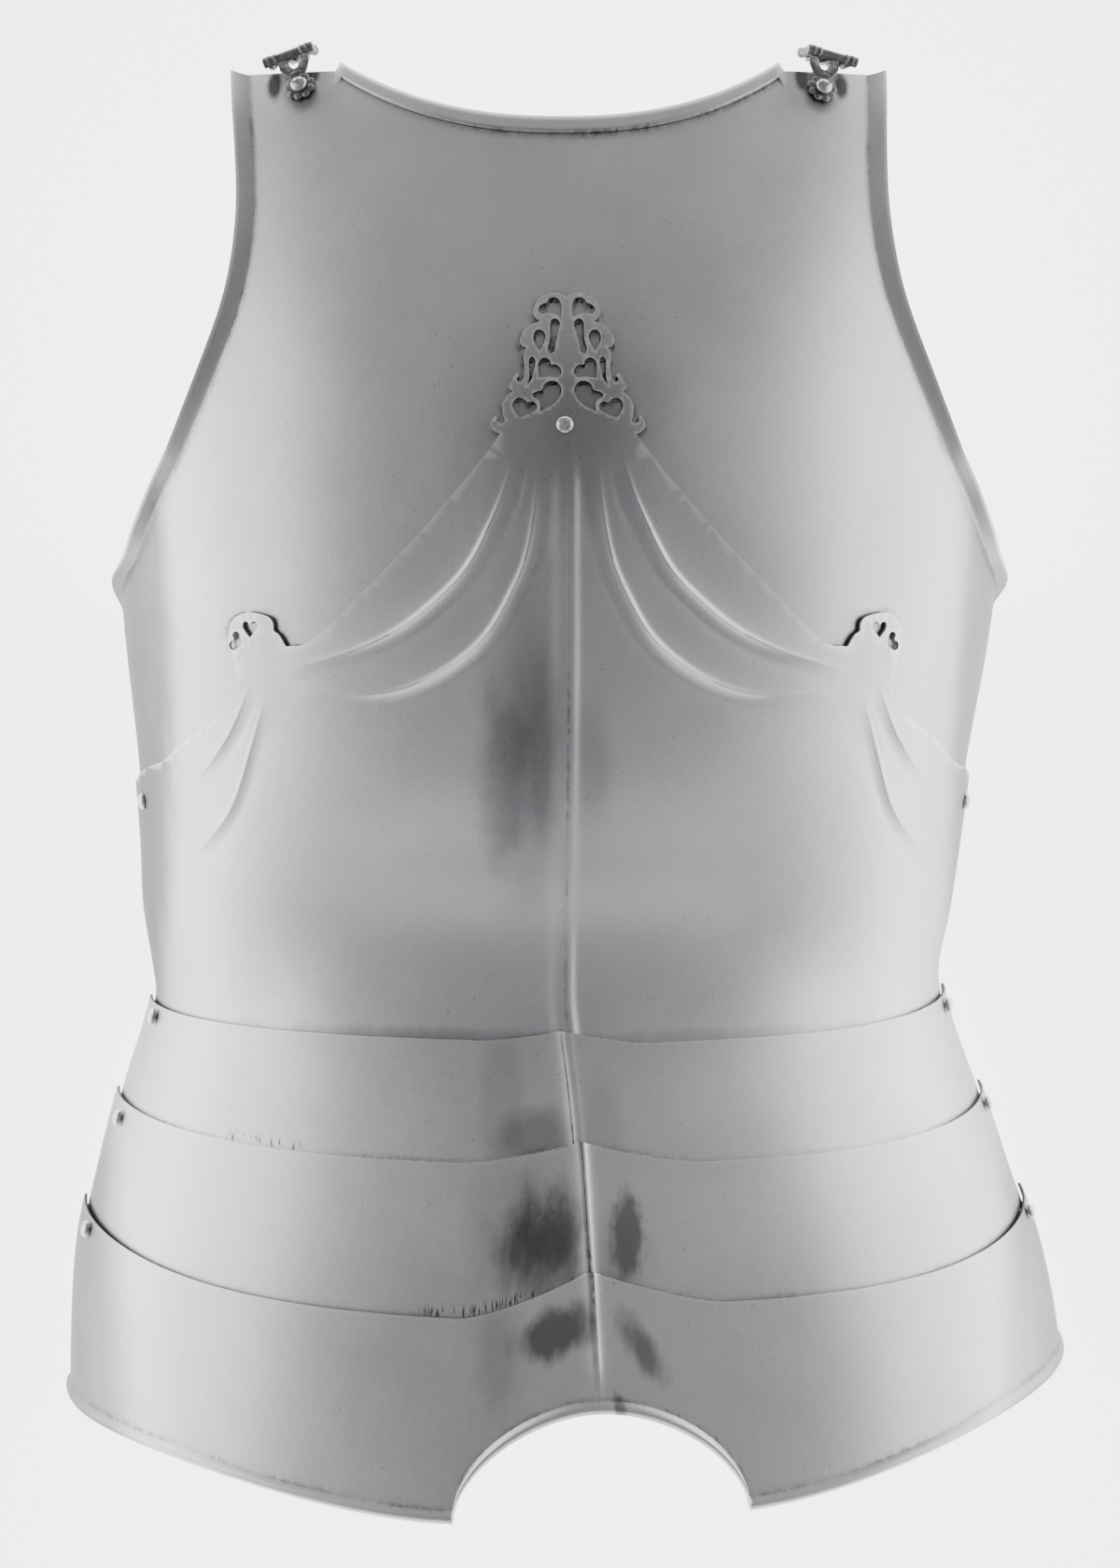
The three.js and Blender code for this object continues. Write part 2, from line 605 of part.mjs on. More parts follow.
// Rosette, neck and two arms, with a knuckle on each arm round the bar. Bar at the origin.
function bucklePlate() {
  const { reach, rosette, lobe, lobes, neck, armOut, armIn, sheet: thick, knuckle, knuckleHole } = BUCKLE;
  const petals = [];
  for (let i = 0; i < lobes * 4; i += 1) {
    const turn = (i / (lobes * 4)) * Math.PI * 2;
    const radius = rosette + lobe * Math.abs(Math.cos((lobes * (turn + Math.PI / 2)) / 2));
    petals.push([radius * Math.cos(turn), -reach + radius * Math.sin(turn)]);
  }
  const high = knuckle;
  const low = knuckle - thick;
  const fork = [[-neck, -14], [neck, -14], [neck, -11], [armOut, -6.5], [armOut, 0], [armIn, 0], [armIn, -6],
    [0, -8], [-armIn, -6], [-armIn, 0], [-armOut, 0], [-armOut, -6.5], [-neck, -11]];
  const knuckles = [-1, 1].map((side) => {
    const ends = [side * armIn, side * armOut].sort((a, b) => a - b);
    return ringAlongX(knuckle, knuckleHole, ends[0], ends[1]);
  });
  const rivet = toSolid(new THREE.CylinderGeometry(RIVET.hole, RIVET.hole, 20, 8)
    .rotateX(Math.PI / 2).translate(0, -reach, 0));
  const bore = toSolid(new THREE.CylinderGeometry(knuckleHole, knuckleHole, 30, 10).rotateZ(Math.PI / 2));
  return joined([slab(outline(petals), low, high), slab(outline(fork), low, high), ...knuckles])
    .subtract(rivet).subtract(bore);
}

// A square-cornered frame with a round hinge bar and knobs on its corners, lying towards +Y.
function buckleFrameSolid() {
  const { width, length, rail, bar, knob } = BUCKLE;
  const half = width / 2;
  const thick = rail / 2;
  const foot = bar * 0.6;
  const shape = outline([[-half, -foot], [-half + rail, -foot], [-half + rail, length - rail],
    [half - rail, length - rail], [half - rail, -foot], [half, -foot], [half, length], [-half, length]].reverse());
  const hinge = toSolid(new THREE.CylinderGeometry(bar, bar, width - rail, 10).rotateZ(Math.PI / 2));
  const knobs = [-1, 1].flatMap((side) => [0.5, length - rail / 2].map((y) => toSolid(
    new THREE.SphereGeometry(knob, 6, 4).translate(side * (half - rail / 2), y, thick))));
  return joined([slab(shape, -thick, thick), hinge, ...knobs]);
}

// A loop round the hinge bar and a pointed prong that lies across the frame.
function buckleTongue() {
  const { tongue, tongueLoop, knuckleHole, point, rail } = BUCKLE;
  const loop = ringAlongX(tongueLoop, knuckleHole, -tongue, tongue);
  const start = rail / 2 + 0.4;
  const prong = outline([[-tongue * 0.8, 1.2], [tongue * 0.8, 1.2], [tongue * 0.45, point], [-tongue * 0.45, point]]);
  const bore = toSolid(new THREE.CylinderGeometry(knuckleHole, knuckleHole, 30, 10).rotateZ(Math.PI / 2));
  return loop.add(slab(prong, start, start + 1.3)).subtract(bore);
}

// ---------------------------------------------------------------- assembly
const steel = { color: 0xb9b9be, metalness: 1, roughness: 0.38 };
const cast = { color: 0x85848a, metalness: 1, roughness: 0.55 };
const rivetSteel = { color: 0xc6c6ca, metalness: 1, roughness: 0.3 };

function mesh(name, geometry, finish) {
  const piece = new THREE.Mesh(geometry, new THREE.MeshStandardMaterial({ ...finish }));
  piece.name = name;
  return piece;
}

function rivet(name, frame, bottom, top, gap) {
  const piece = mesh(name, rivetGeometry(bottom, top, gap), rivetSteel);
  piece.position.copy(frame.position);
  piece.quaternion.copy(frame.quaternion);
  return piece;
}

function buckle(spec) {
  const group = buckleFrame(spec);
  const bar = new THREE.Group();
  bar.position.set(0, BUCKLE.reach, CHEST_LIFT + WALL + FIT + BUCKLE.sheet - BUCKLE.knuckle);
  const out = new THREE.Vector3(0, 0, 1).applyQuaternion(group.quaternion.clone().invert());
  const stand = Math.atan2(out.z, out.y);
  const frame = mesh(`buckle_frame_${spec.side}`, toGeometry(buckleFrameSolid()), cast);
  const tongue = mesh(`buckle_tongue_${spec.side}`, toGeometry(buckleTongue()), cast);
  frame.rotation.x = stand;
  tongue.rotation.x = stand;
  bar.add(mesh(`buckle_plate_${spec.side}`, toGeometry(bucklePlate()), cast), frame, tongue);
  const top = WALL + FIT + BUCKLE.sheet;
  const pin = mesh(`rivet_buckle_${spec.side}`, rivetGeometry(CHEST_LIFT, CHEST_LIFT + top, RIVET.seat), rivetSteel);
  group.add(bar, pin);
  return group;
}

const part = new THREE.Group();
part.position.set(-MIDDLE.x, -MIDDLE.height, 0);
part.add(mesh('chest_plate', toGeometry(chestPlate()), steel));
part.add(mesh('plackart', toGeometry(plackart()), steel));
LAMES.forEach(({ name }, n) => part.add(mesh(name, toGeometry(lame(n)), steel)));

const plackartTop = PLACKART_LIFT + WALL;
part.add(rivet('rivet_plackart_centre', placeAt(RIVETS.centre), CHEST_LIFT, plackartTop, RIVET.seat));
[['left', -1], ['right', 1]].forEach(([side, sign]) => {
  part.add(rivet(`rivet_plackart_${side}`, placeAt(RIVETS.plackart, sign), CHEST_LIFT, plackartTop, RIVET.seat));
  LAMES.forEach(({ name }, n) => {
    const under = n === 0 ? PLACKART_LIFT : LAME_LIFTS[n - 1];
    const pivot = `rivet_${name.replace('fauld_', '')}_${side}`;
    part.add(rivet(pivot, lameRivetPlace(n, sign), under, LAME_LIFTS[n] + WALL, RIVET.loose));
  });
});
BUCKLES.forEach((spec) => part.add(buckle(spec)));

export default part;
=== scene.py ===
"""Steel cuirass breastplate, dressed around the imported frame.

A chest plate with a plain neck roll and turned armhole edges carries a fluted plackart with pierced finials.
Three fauld lames hang below it on side rivets, and two cast buckles stand on the shoulders. The sheets are
made again here on the solids' own torso surface, with smooth faces, rolled edges and raised flutes. The keel and
the hem's bead have finer sizes of their own.
"""

from __future__ import annotations

import logging
import math
from dataclasses import dataclass, field
from enum import Enum

import bmesh
import bpy
import numpy as np
from mathutils import Matrix, Vector
from mathutils.geometry import delaunay_2d_cdt

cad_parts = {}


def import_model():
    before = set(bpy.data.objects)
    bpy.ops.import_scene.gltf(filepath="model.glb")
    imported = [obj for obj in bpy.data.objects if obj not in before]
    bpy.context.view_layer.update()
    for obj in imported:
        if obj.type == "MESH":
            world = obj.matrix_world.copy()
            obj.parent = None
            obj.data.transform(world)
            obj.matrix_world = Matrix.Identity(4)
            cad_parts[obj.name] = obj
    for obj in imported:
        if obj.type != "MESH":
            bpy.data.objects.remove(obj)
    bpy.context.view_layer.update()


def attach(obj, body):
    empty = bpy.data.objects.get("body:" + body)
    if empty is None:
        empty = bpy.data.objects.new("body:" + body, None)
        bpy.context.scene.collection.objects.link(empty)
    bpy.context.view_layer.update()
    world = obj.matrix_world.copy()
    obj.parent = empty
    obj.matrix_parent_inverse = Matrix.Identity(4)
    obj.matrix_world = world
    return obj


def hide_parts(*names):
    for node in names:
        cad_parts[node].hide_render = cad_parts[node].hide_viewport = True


log = logging.getLogger("cuirass")

MM = 0.001  # one millimetre in scene units
MIDDLE = np.array([5.0, 301.8, 0.0])  # middle of the whole, in armour millimetres
WALL = 1.4  # sheet thickness
FIT = 0.9  # space between two riveted sheets
LAME_FIT = 1.2  # space between two sheets that slide on each other
SWELL = 0.1  # how much fuller than an ellipse a section is
CHEST_BOTTOM = 232.0  # hidden lower edge of the chest plate
PLACKART_BOTTOM = 174.0  # hidden lower edge of the plackart
LAME_SLOPE = 0.015  # the fauld's rivets sit a little lower on the left
CHEST_LIFT = 0.0  # how far each sheet's inner face stands off the torso surface
PLACKART_LIFT = CHEST_LIFT + WALL + FIT
LAME_LIFTS = tuple(PLACKART_LIFT + n * (WALL + LAME_FIT) for n in (1, 2, 3))
SHOULDER = 588.5  # top of the shoulders


class Slot(Enum):
    """The record's material slots."""

    PLATE = "plate_steel"
    CAST = "cast_steel"
    RIVET = "rivet_steel"


class Table:
    """Named columns of sizes against height, read as a smooth curve."""

    def __init__(self, names: tuple[str, ...], rows: list[list[float]]) -> None:
        """Keeps the rows.

        Args:
            names: names of the columns after the height.
            rows: rows of height and values, from the lowest up.
        """
        self.rows = np.array(rows, float)
        self.names = names

    def read(self, name: str, height: np.ndarray | float) -> np.ndarray:
        """Smooth value of a column.

        Args:
            name: the column.
            height: heights in armour millimetres.

        Returns:
            The column's value at each height.
        """
        hs = self.rows[:, 0]
        col = self.rows[:, 1 + self.names.index(name)]
        slope = np.empty(len(hs))
        slope[1:-1] = (col[2:] - col[:-2]) / (hs[2:] - hs[:-2])
        slope[0] = (col[1] - col[0]) / (hs[1] - hs[0])
        slope[-1] = (col[-1] - col[-2]) / (hs[-1] - hs[-2])
        h = np.clip(np.asarray(height, float), hs[0], hs[-1])
        i = np.clip(np.searchsorted(hs, h, side="right") - 1, 0, len(hs) - 2)
        span = hs[i + 1] - hs[i]
        t = (h - hs[i]) / span
        ease = t * t * (3 - 2 * t)
        return col[i] + (col[i + 1] - col[i]) * ease + span * t * (1 - t) * (slope[i] * (1 - t) - slope[i + 1] * t)


TORSO = Table(("half", "middle", "ridge", "depth", "peak"), [
    [0, 207, 5, 13, 170, 7],
    [40, 207, 5, 11.8, 168, 7],
    [80, 202.3, 2.5, 9.6, 163, 8],
    [110, 194.2, 0.5, 8, 157, 8],
    [150, 182.6, -1, 5.6, 145, 8],
    [175, 174.2, -1.5, 3.2, 137, 8],
    [190, 170.5, -1.8, 1.4, 134, 8],
    [205, 171, -3, 0, 133, 8],
    [230, 175.5, -2.5, 0, 137, 8],
    [260, 178.3, -1, 0, 147, 8],
    [300, 182.6, 0, 0, 160, 7],
    [340, 188.5, 1.4, 0, 168.5, 6],
    [375, 192.6, 2.2, 0, 171.5, 5],
    [400, 194.5, 1.8, 0, 171, 4],
    [440, 195, 1.6, 0, 165, 2],
    [480, 193, 1.6, 0, 154, 1],
    [520, 189, 1.2, 0, 138, 0],
    [570, 184, 0, 0, 112, 0],
    [600, 180, 0, 0, 93, 0],
])
ARMHOLE = Table(("angle",), [
    [232, 90], [346, 90], [357, 88], [366, 84.5], [374, 77.5], [383, 69], [399, 62], [415, 56.8], [430, 52.4],
    [461, 46.7], [492, 42.8], [523, 41.9], [552, 43], [589, 45.7],
])


def torso_point(angle: np.ndarray, height: np.ndarray) -> np.ndarray:
    """Points of the torso surface.

    Args:
        angle: radians from the ridge, positive towards +X.
        height: armour millimetres above the fauld's lowest point.

    Returns:
        Points in armour millimetres, in the last axis.
    """
    angle, height = np.broadcast_arrays(np.asarray(angle, float), np.asarray(height, float))
    half, middle, ridge, depth, peak = (TORSO.read(n, height) for n in TORSO.names)
    s, c = np.sin(angle), np.cos(angle)
    x = middle + half * s * (1 + SWELL * c * c) + (ridge - middle) * c * c
    z = (depth - peak) * c * (1 + SWELL * s * s) + peak * (1 - np.abs(s)) ** 2
    return np.stack([x, height, z], axis=-1)


def torso_normal(angle: np.ndarray, height: np.ndarray) -> np.ndarray:
    """Outward unit normals of the torso surface.

    Args:
        angle: radians from the ridge.
        height: armour millimetres.

    Returns:
        Unit vectors in the last axis.
    """
    angle, height = np.broadcast_arrays(np.asarray(angle, float), np.asarray(height, float))
    across = torso_point(angle + 0.001, height) - torso_point(angle - 0.001, height)
    along = torso_point(angle, height + 0.1) - torso_point(angle, height - 0.1)
    out = np.cross(across, along)
    return out / np.linalg.norm(out, axis=-1, keepdims=True)


def lifted(angle: np.ndarray, height: np.ndarray, lift: np.ndarray | float) -> np.ndarray:
    """Points held off the torso surface along its normal.

    Args:
        angle: radians from the ridge.
        height: armour millimetres.
        lift: distance out from the surface.

    Returns:
        Points in armour millimetres.
    """
    lift = np.asarray(lift, float)
    return torso_point(angle, height) + torso_normal(angle, height) * lift[..., None]


def angle_at(x: np.ndarray | float, height: np.ndarray | float, lift: float) -> np.ndarray:
    """Angle at which the lifted surface stands at a sideways place.

    Args:
        x: sideways places.
        height: heights.
        lift: distance out from the torso surface.

    Returns:
        Angles in radians.
    """
    x, height = np.broadcast_arrays(np.asarray(x, float), np.asarray(height, float))
    low = np.full(x.shape, -math.pi / 2)
    high = np.full(x.shape, math.pi / 2)
    for _ in range(30):
        middle = (low + high) / 2
        below = lifted(middle, height, lift)[..., 0] < x
        low = np.where(below, middle, low)
        high = np.where(below, high, middle)
    return (low + high) / 2


def arc_rate(angle: np.ndarray, height: np.ndarray) -> np.ndarray:
    """Arc length for each radian of angle, near an angle."""
    return np.linalg.norm(torso_point(angle, height) - torso_point(angle - 0.01, height), axis=-1) / 0.01


def smoothstep(x: np.ndarray | float, low: float, high: float) -> np.ndarray:
    """Smooth rise from 0 at low to 1 at high."""
    t = np.clip((np.asarray(x, float) - low) / (high - low), 0, 1)
    return t * t * (3 - 2 * t)


@dataclass(frozen=True)
class Keel:
    """Raised band down the ridge."""

    half: float = 1.2
    foot: float = 6.4
    rise: float = 1.1
    scribe: float = 0.1
    fade_from: float = 410
    fade_to: float = 432

    def rise_at(self, distance: np.ndarray) -> np.ndarray:
        """Rise of the rounded band, with a scribed line down it, at a distance from the ridge."""
        reach = np.where(distance < 0, 1.35, 0.85)
        band = self.rise * (1 - smoothstep(np.abs(distance) / reach, self.half, self.foot))
        return band - 0.3 * np.exp(-((distance - self.scribe) / 0.45) ** 2)

    def roof_at(self, distance: np.ndarray) -> np.ndarray:
        """Rise of the band as a low roof with a crest, as on the lames."""
        return 1.3 * np.exp(-(np.abs(distance) / np.where(distance > 0, 2.0, 3.2)) ** 1.15)


KEEL = Keel()
KEEL_COLUMNS = (-8, -6.6, -5.4, -4.4, -3.4, -2.4, -1.5, -0.8, -0.3, 0.1, 0.6, 1.1, 1.6, 2.4, 3.4, 4.4, 5.4, 6.6, 8)
FLUTE_COLUMNS = (-1.75, -1.45, -1.2, -1.0, -0.8, -0.62, -0.45, -0.32, -0.2, -0.09, 0.09, 0.2, 0.32, 0.45, 0.62, 0.8,
                 1.05, 1.35, 1.75)


def link_piece(name: str, data: bpy.types.ID) -> bpy.types.Object:
    """Links a new object, at the origin.

    Args:
        name: its name.
        data: its mesh, light or camera.

    Returns:
        The object.
    """
    piece = bpy.data.objects.new(name, data)
    bpy.context.scene.collection.objects.link(piece)
    return piece


def finished_mesh(carrier: bpy.types.Object) -> bpy.types.Mesh:
    """The mesh that an object's modifiers make."""
    bpy.context.view_layer.update()
    return bpy.data.meshes.new_from_object(carrier.evaluated_get(bpy.context.evaluated_depsgraph_get()))


def make_mesh(name: str, points: np.ndarray, faces: np.ndarray | list, sharp: float = 32.0) -> bpy.types.Object:
    """Links a new piece made from armour points.

    Args:
        name: name of the piece.
        points: points in armour millimetres.
        faces: indices of each face's corners.
        sharp: edges that bend more than this many degrees stay crisp.

    Returns:
        The new object, at the origin.
    """
    mesh = bpy.data.meshes.new(name)
    mesh.from_pydata(((points - MIDDLE) * MM).tolist(), [], faces if isinstance(faces, list) else faces.tolist())
    mesh.validate()
    mesh.shade_smooth()
    mesh.set_sharp_from_angle(angle=math.radians(sharp))
    return link_piece(name, mesh)


def sheet_faces(rows: int, columns: int) -> np.ndarray:
    """Quads of a closed sheet: outer grid first, then the inner grid, joined round the rim.

    Args:
        rows: rows of each grid.
        columns: columns of each grid.

    Returns:
        An array of quads.
    """
    grid = np.arange(rows * columns).reshape(rows, columns)
    inner = grid + rows * columns
    quads = [np.stack([grid[:-1, :-1], grid[:-1, 1:], grid[1:, 1:], grid[1:, :-1]], -1).reshape(-1, 4),
             np.stack([inner[:-1, :-1], inner[1:, :-1], inner[1:, 1:], inner[:-1, 1:]], -1).reshape(-1, 4)]
    loops = [(grid[0], inner[0]), (grid[:, -1], inner[:, -1]), (grid[-1, ::-1], inner[-1, ::-1]),
             (grid[::-1, 0], inner[::-1, 0])]
    for outer_line, inner_line in loops:
        quads.append(np.stack([outer_line[1:], outer_line[:-1], inner_line[:-1], inner_line[1:]], -1))
    return np.concatenate(quads)


def keep_attribute(piece: bpy.types.Object, name: str, values: np.ndarray) -> None:
    """Stores one number for each point of a piece, for its material to read.

    Args:
        piece: the piece.
        name: name of the attribute.
        values: one number for each point.
    """
    attribute = piece.data.attributes.new(name, "FLOAT", "POINT")
    attribute.data.foreach_set("value", np.asarray(values, np.float32).ravel())


def dress(piece: bpy.types.Object, finish: bpy.types.Material, slot: Slot, body: str, *nodes: str) -> None:
    """Gives a piece its finish and its body.

    Args:
        piece: the piece.
        finish: its material.
        slot: the record's slot, not used.
        body: the body that it rides on.
        nodes: the frame's nodes that it stands for.
    """
    piece.data.materials.clear()
    piece.data.materials.append(finish)
    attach(piece, body)
    if nodes:
        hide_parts(*nodes)
    log.info("%s: %d faces on %s", piece.name, len(piece.data.polygons), body)


# ---------------------------------------------------------------- shader groups
class Tree:
    """A node tree with short ways to add and join nodes."""

    def __init__(self, tree: bpy.types.NodeTree) -> None:
        """Keeps the tree."""
        self.tree = tree

    def add(self, kind: str, **values: object) -> bpy.types.Node:
        """Adds a node.

        Args:
            kind: the node's type name, without its prefix.
            values: properties, or plain values of inputs named with spaces as underscores.

        Returns:
            The node.
        """
        node = self.tree.nodes.new(kind)
        for name, value in values.items():
            label = name.replace("_", " ").title()
            if hasattr(node, name):
                setattr(node, name, value)
            else:
                node.inputs[label].default_value = value
        return node

    def join(self, start: bpy.types.NodeSocket, end: bpy.types.NodeSocket) -> None:
        """Joins an output to an input."""
        self.tree.links.new(start, end)

    def math(self, operation: str, first: object, second: object = 0.0, clamp: bool = False) -> bpy.types.NodeSocket:
        """Adds a math node.

        Args:
            operation: the math node's operation.
            first: a socket or a number.
            second: a socket or a number.
            clamp: whether the result is held between 0 and 1.

        Returns:
            The result's socket.
        """
        node = self.tree.nodes.new("ShaderNodeMath")
        node.operation = operation
        node.use_clamp = clamp
        for socket, value in zip(node.inputs, (first, second)):
            if isinstance(value, bpy.types.NodeSocket):
                self.join(value, socket)
            else:
                socket.default_value = value
        return node.outputs[0]

    def ramp(self, value: bpy.types.NodeSocket, low: float, high: float, top: float = 1.0) -> bpy.types.NodeSocket:
        """Smooth rise of a value from 0 at low to top at high.

        Args:
            value: the value.
            low: where the rise starts.
            high: where it ends.
            top: height of the rise.

        Returns:
            The result's socket.
        """
        node = self.tree.nodes.new("ShaderNodeMapRange")
        node.interpolation_type = "SMOOTHSTEP"
        self.join(value, node.inputs["Value"])
        for name, number in (("From Min", low), ("From Max", high), ("To Min", 0.0), ("To Max", top)):
            node.inputs[name].default_value = number
        return node.outputs["Result"]

    def noise(self, place: bpy.types.NodeSocket, scale: float, detail: float,
              rough: float = 0.5) -> bpy.types.NodeSocket:
        """Noise over a place.

        Args:
            place: the place's socket.
            scale: features for each metre.
            detail: octaves.
            rough: strength of the finer octaves.

        Returns:
            The noise's value.
        """
        node = self.tree.nodes.new("ShaderNodeTexNoise")
        self.join(place, node.inputs["Vector"])
        node.inputs["Scale"].default_value = scale
        node.inputs["Detail"].default_value = detail
        node.inputs["Roughness"].default_value = rough
        return node.outputs["Fac"]

    def stretch(self, place: bpy.types.NodeSocket, scale: tuple[float, float, float]) -> bpy.types.NodeSocket:
        """A place with its axes scaled."""
        node = self.tree.nodes.new("ShaderNodeMapping")
        self.join(place, node.inputs["Vector"])
        node.inputs["Scale"].default_value = scale
        return node.outputs["Vector"]

    def mix(self, share: object, first: object, second: object) -> bpy.types.NodeSocket:
        """Mixes two colours.

        Args:
            share: a socket or a number, the second colour's share.
            first: a socket or a colour.
            second: a socket or a colour.

        Returns:
            The mixed colour's socket.
        """
        node = self.tree.nodes.new("ShaderNodeMix")
        node.data_type = "RGBA"
        for socket, value in ((node.inputs[0], share), (node.inputs[6], first), (node.inputs[7], second)):
            if isinstance(value, bpy.types.NodeSocket):
                self.join(value, socket)
            else:
                socket.default_value = value
        return node.outputs[2]


def new_group(name: str, inputs: dict[str, float], outputs: list[str]) -> tuple[bpy.types.NodeTree, Tree, dict, dict]:
    """Starts a shader group.

    Args:
        name: the group's name.
        inputs: names and first values of its number inputs.
        outputs: names of its number outputs.

    Returns:
        The group, its tree, its input sockets and its output sockets by name.
    """
    group = bpy.data.node_groups.new(name, "ShaderNodeTree")
    for label, value in inputs.items():
        socket = group.interface.new_socket(label, in_out="INPUT", socket_type="NodeSocketFloat")
        socket.default_value = value
    for label in outputs:
        group.interface.new_socket(label, in_out="OUTPUT", socket_type="NodeSocketFloat")
    tree = Tree(group)
    source = group.nodes.new("NodeGroupInput")
    sink = group.nodes.new("NodeGroupOutput")
    return group, tree, {k: source.outputs[k] for k in inputs}, {k: sink.inputs[k] for k in outputs}


def object_place(tree: Tree) -> bpy.types.NodeSocket:
    """The piece's own coordinates."""
    return tree.add("ShaderNodeTexCoord").outputs["Object"]


def metal(name: str) -> tuple[bpy.types.Material, Tree, bpy.types.Node]:
    """Starts a metal.

    Args:
        name: its name.

    Returns:
        The material, its tree and its shader.
    """
    material = bpy.data.materials.new(name)
    material.use_nodes = True
    shader = material.node_tree.nodes["Principled BSDF"]
    shader.inputs["Metallic"].default_value = 1.0
    return material, Tree(material.node_tree), shader


def emboss(tree: Tree, shader: bpy.types.Node, height: bpy.types.NodeSocket, strength: float, depth: float) -> None:
    """Bumps a surface.

    Args:
        tree: the material's tree.
        shader: its shader.
        height: the relief's socket.
        strength: how strong the bump is.
        depth: its depth in metres.
    """
    bump = tree.add("ShaderNodeBump")
    bump.inputs["Strength"].default_value = strength
    bump.inputs["Distance"].default_value = depth
    tree.join(height, bump.inputs["Height"])
    tree.join(bump.outputs["Normal"], shader.inputs["Normal"])


def grain_group() -> bpy.types.NodeTree:
    """Cross-hatched grain of a belt-polished sheet, with fine pits.

    Returns:
        A group with the inputs Fineness and Pits and the outputs Height, Pit and Cloud.
    """
    group, tree, inputs, outputs = new_group("polished_grain", {"Fineness": 1.0, "Pits": 1.0},
                                             ["Height", "Pit", "Cloud"])
    place = object_place(tree)
    level = tree.noise(tree.stretch(place, (0.06, 1.0, 0.3)), 2600, 2)
    upright = tree.noise(tree.stretch(place, (1.0, 0.07, 0.4)), 2000, 2)
    both = tree.math("ADD", level, upright)
    tree.join(tree.math("MULTIPLY", both, inputs["Fineness"]), outputs["Height"])
    spots = tree.add("ShaderNodeTexVoronoi", scale=330.0)
    tree.join(place, spots.inputs["Vector"])
    rare = tree.ramp(tree.noise(place, 120, 1), 0.56, 0.64)
    dot = tree.ramp(spots.outputs["Distance"], 0.13, 0.05)
    pit = tree.math("MULTIPLY", tree.math("MULTIPLY", dot, rare), inputs["Pits"])
    tree.join(pit, outputs["Pit"])
    cloud = tree.noise(place, 9, 3, 0.55)
    tree.join(cloud, outputs["Cloud"])
    return group


def dark_patch_group() -> bpy.types.NodeTree:
    """Soft dark patch on the polish, about a point of the front, longer than it is wide, used mostly for painted shade
    and dark reflections.

    Returns:
        A group with inputs for the middle, half sizes, softness and raggedness, and the output Mask.
    """
    names = {"Middle X": 0.0, "Middle Y": 0.0, "Half Width": 0.02, "Half Height": 0.1, "Lean": 0.0,
             "Raggedness": 0.2, "Softness": 0.6}
    group, tree, inputs, outputs = new_group("smoky_patch", names, ["Mask"])
    place = object_place(tree)
    parts = tree.add("ShaderNodeSeparateXYZ")
    tree.join(place, parts.inputs[0])
    up = tree.math("SUBTRACT", parts.outputs["Y"], inputs["Middle Y"])
    lean = tree.math("MULTIPLY", up, inputs["Lean"])
    across = tree.math("SUBTRACT", tree.math("SUBTRACT", parts.outputs["X"], inputs["Middle X"]), lean)
    u = tree.math("DIVIDE", across, inputs["Half Width"])
    v = tree.math("DIVIDE", up, inputs["Half Height"])
    reach = tree.math("SQRT", tree.math("ADD", tree.math("MULTIPLY", u, u), tree.math("MULTIPLY", v, v)))
    ragged = tree.noise(tree.stretch(place, (1.0, 0.35, 1.0)), 90, 4, 0.6)
    offset = tree.math("MULTIPLY", tree.math("SUBTRACT", ragged, 0.5), inputs["Raggedness"])
    edge = tree.math("ADD", reach, tree.math("MULTIPLY", offset, 3.0))
    inner = tree.math("SUBTRACT", 1.0, inputs["Softness"])
    share = tree.math("DIVIDE", tree.math("SUBTRACT", edge, inner), inputs["Softness"])
    clear = tree.ramp(share, 0.0, 1.0)
    tree.join(tree.math("SUBTRACT", 1.0, clear, clamp=True), outputs["Mask"])
    return group


# ---------------------------------------------------------------- finishes
@dataclass(frozen=True)
class DarkPatch:
    """A dark patch on the polish, used for painted shade, painted dark reflections and darker smudges: middle, half
    sizes and strength, in armour millimetres.
    """

    x: float
    height: float
    half_width: float
    half_height: float
    strength: float
    lean: float = 0.0
    ragged: float = 0.2
    soft: float = 0.6


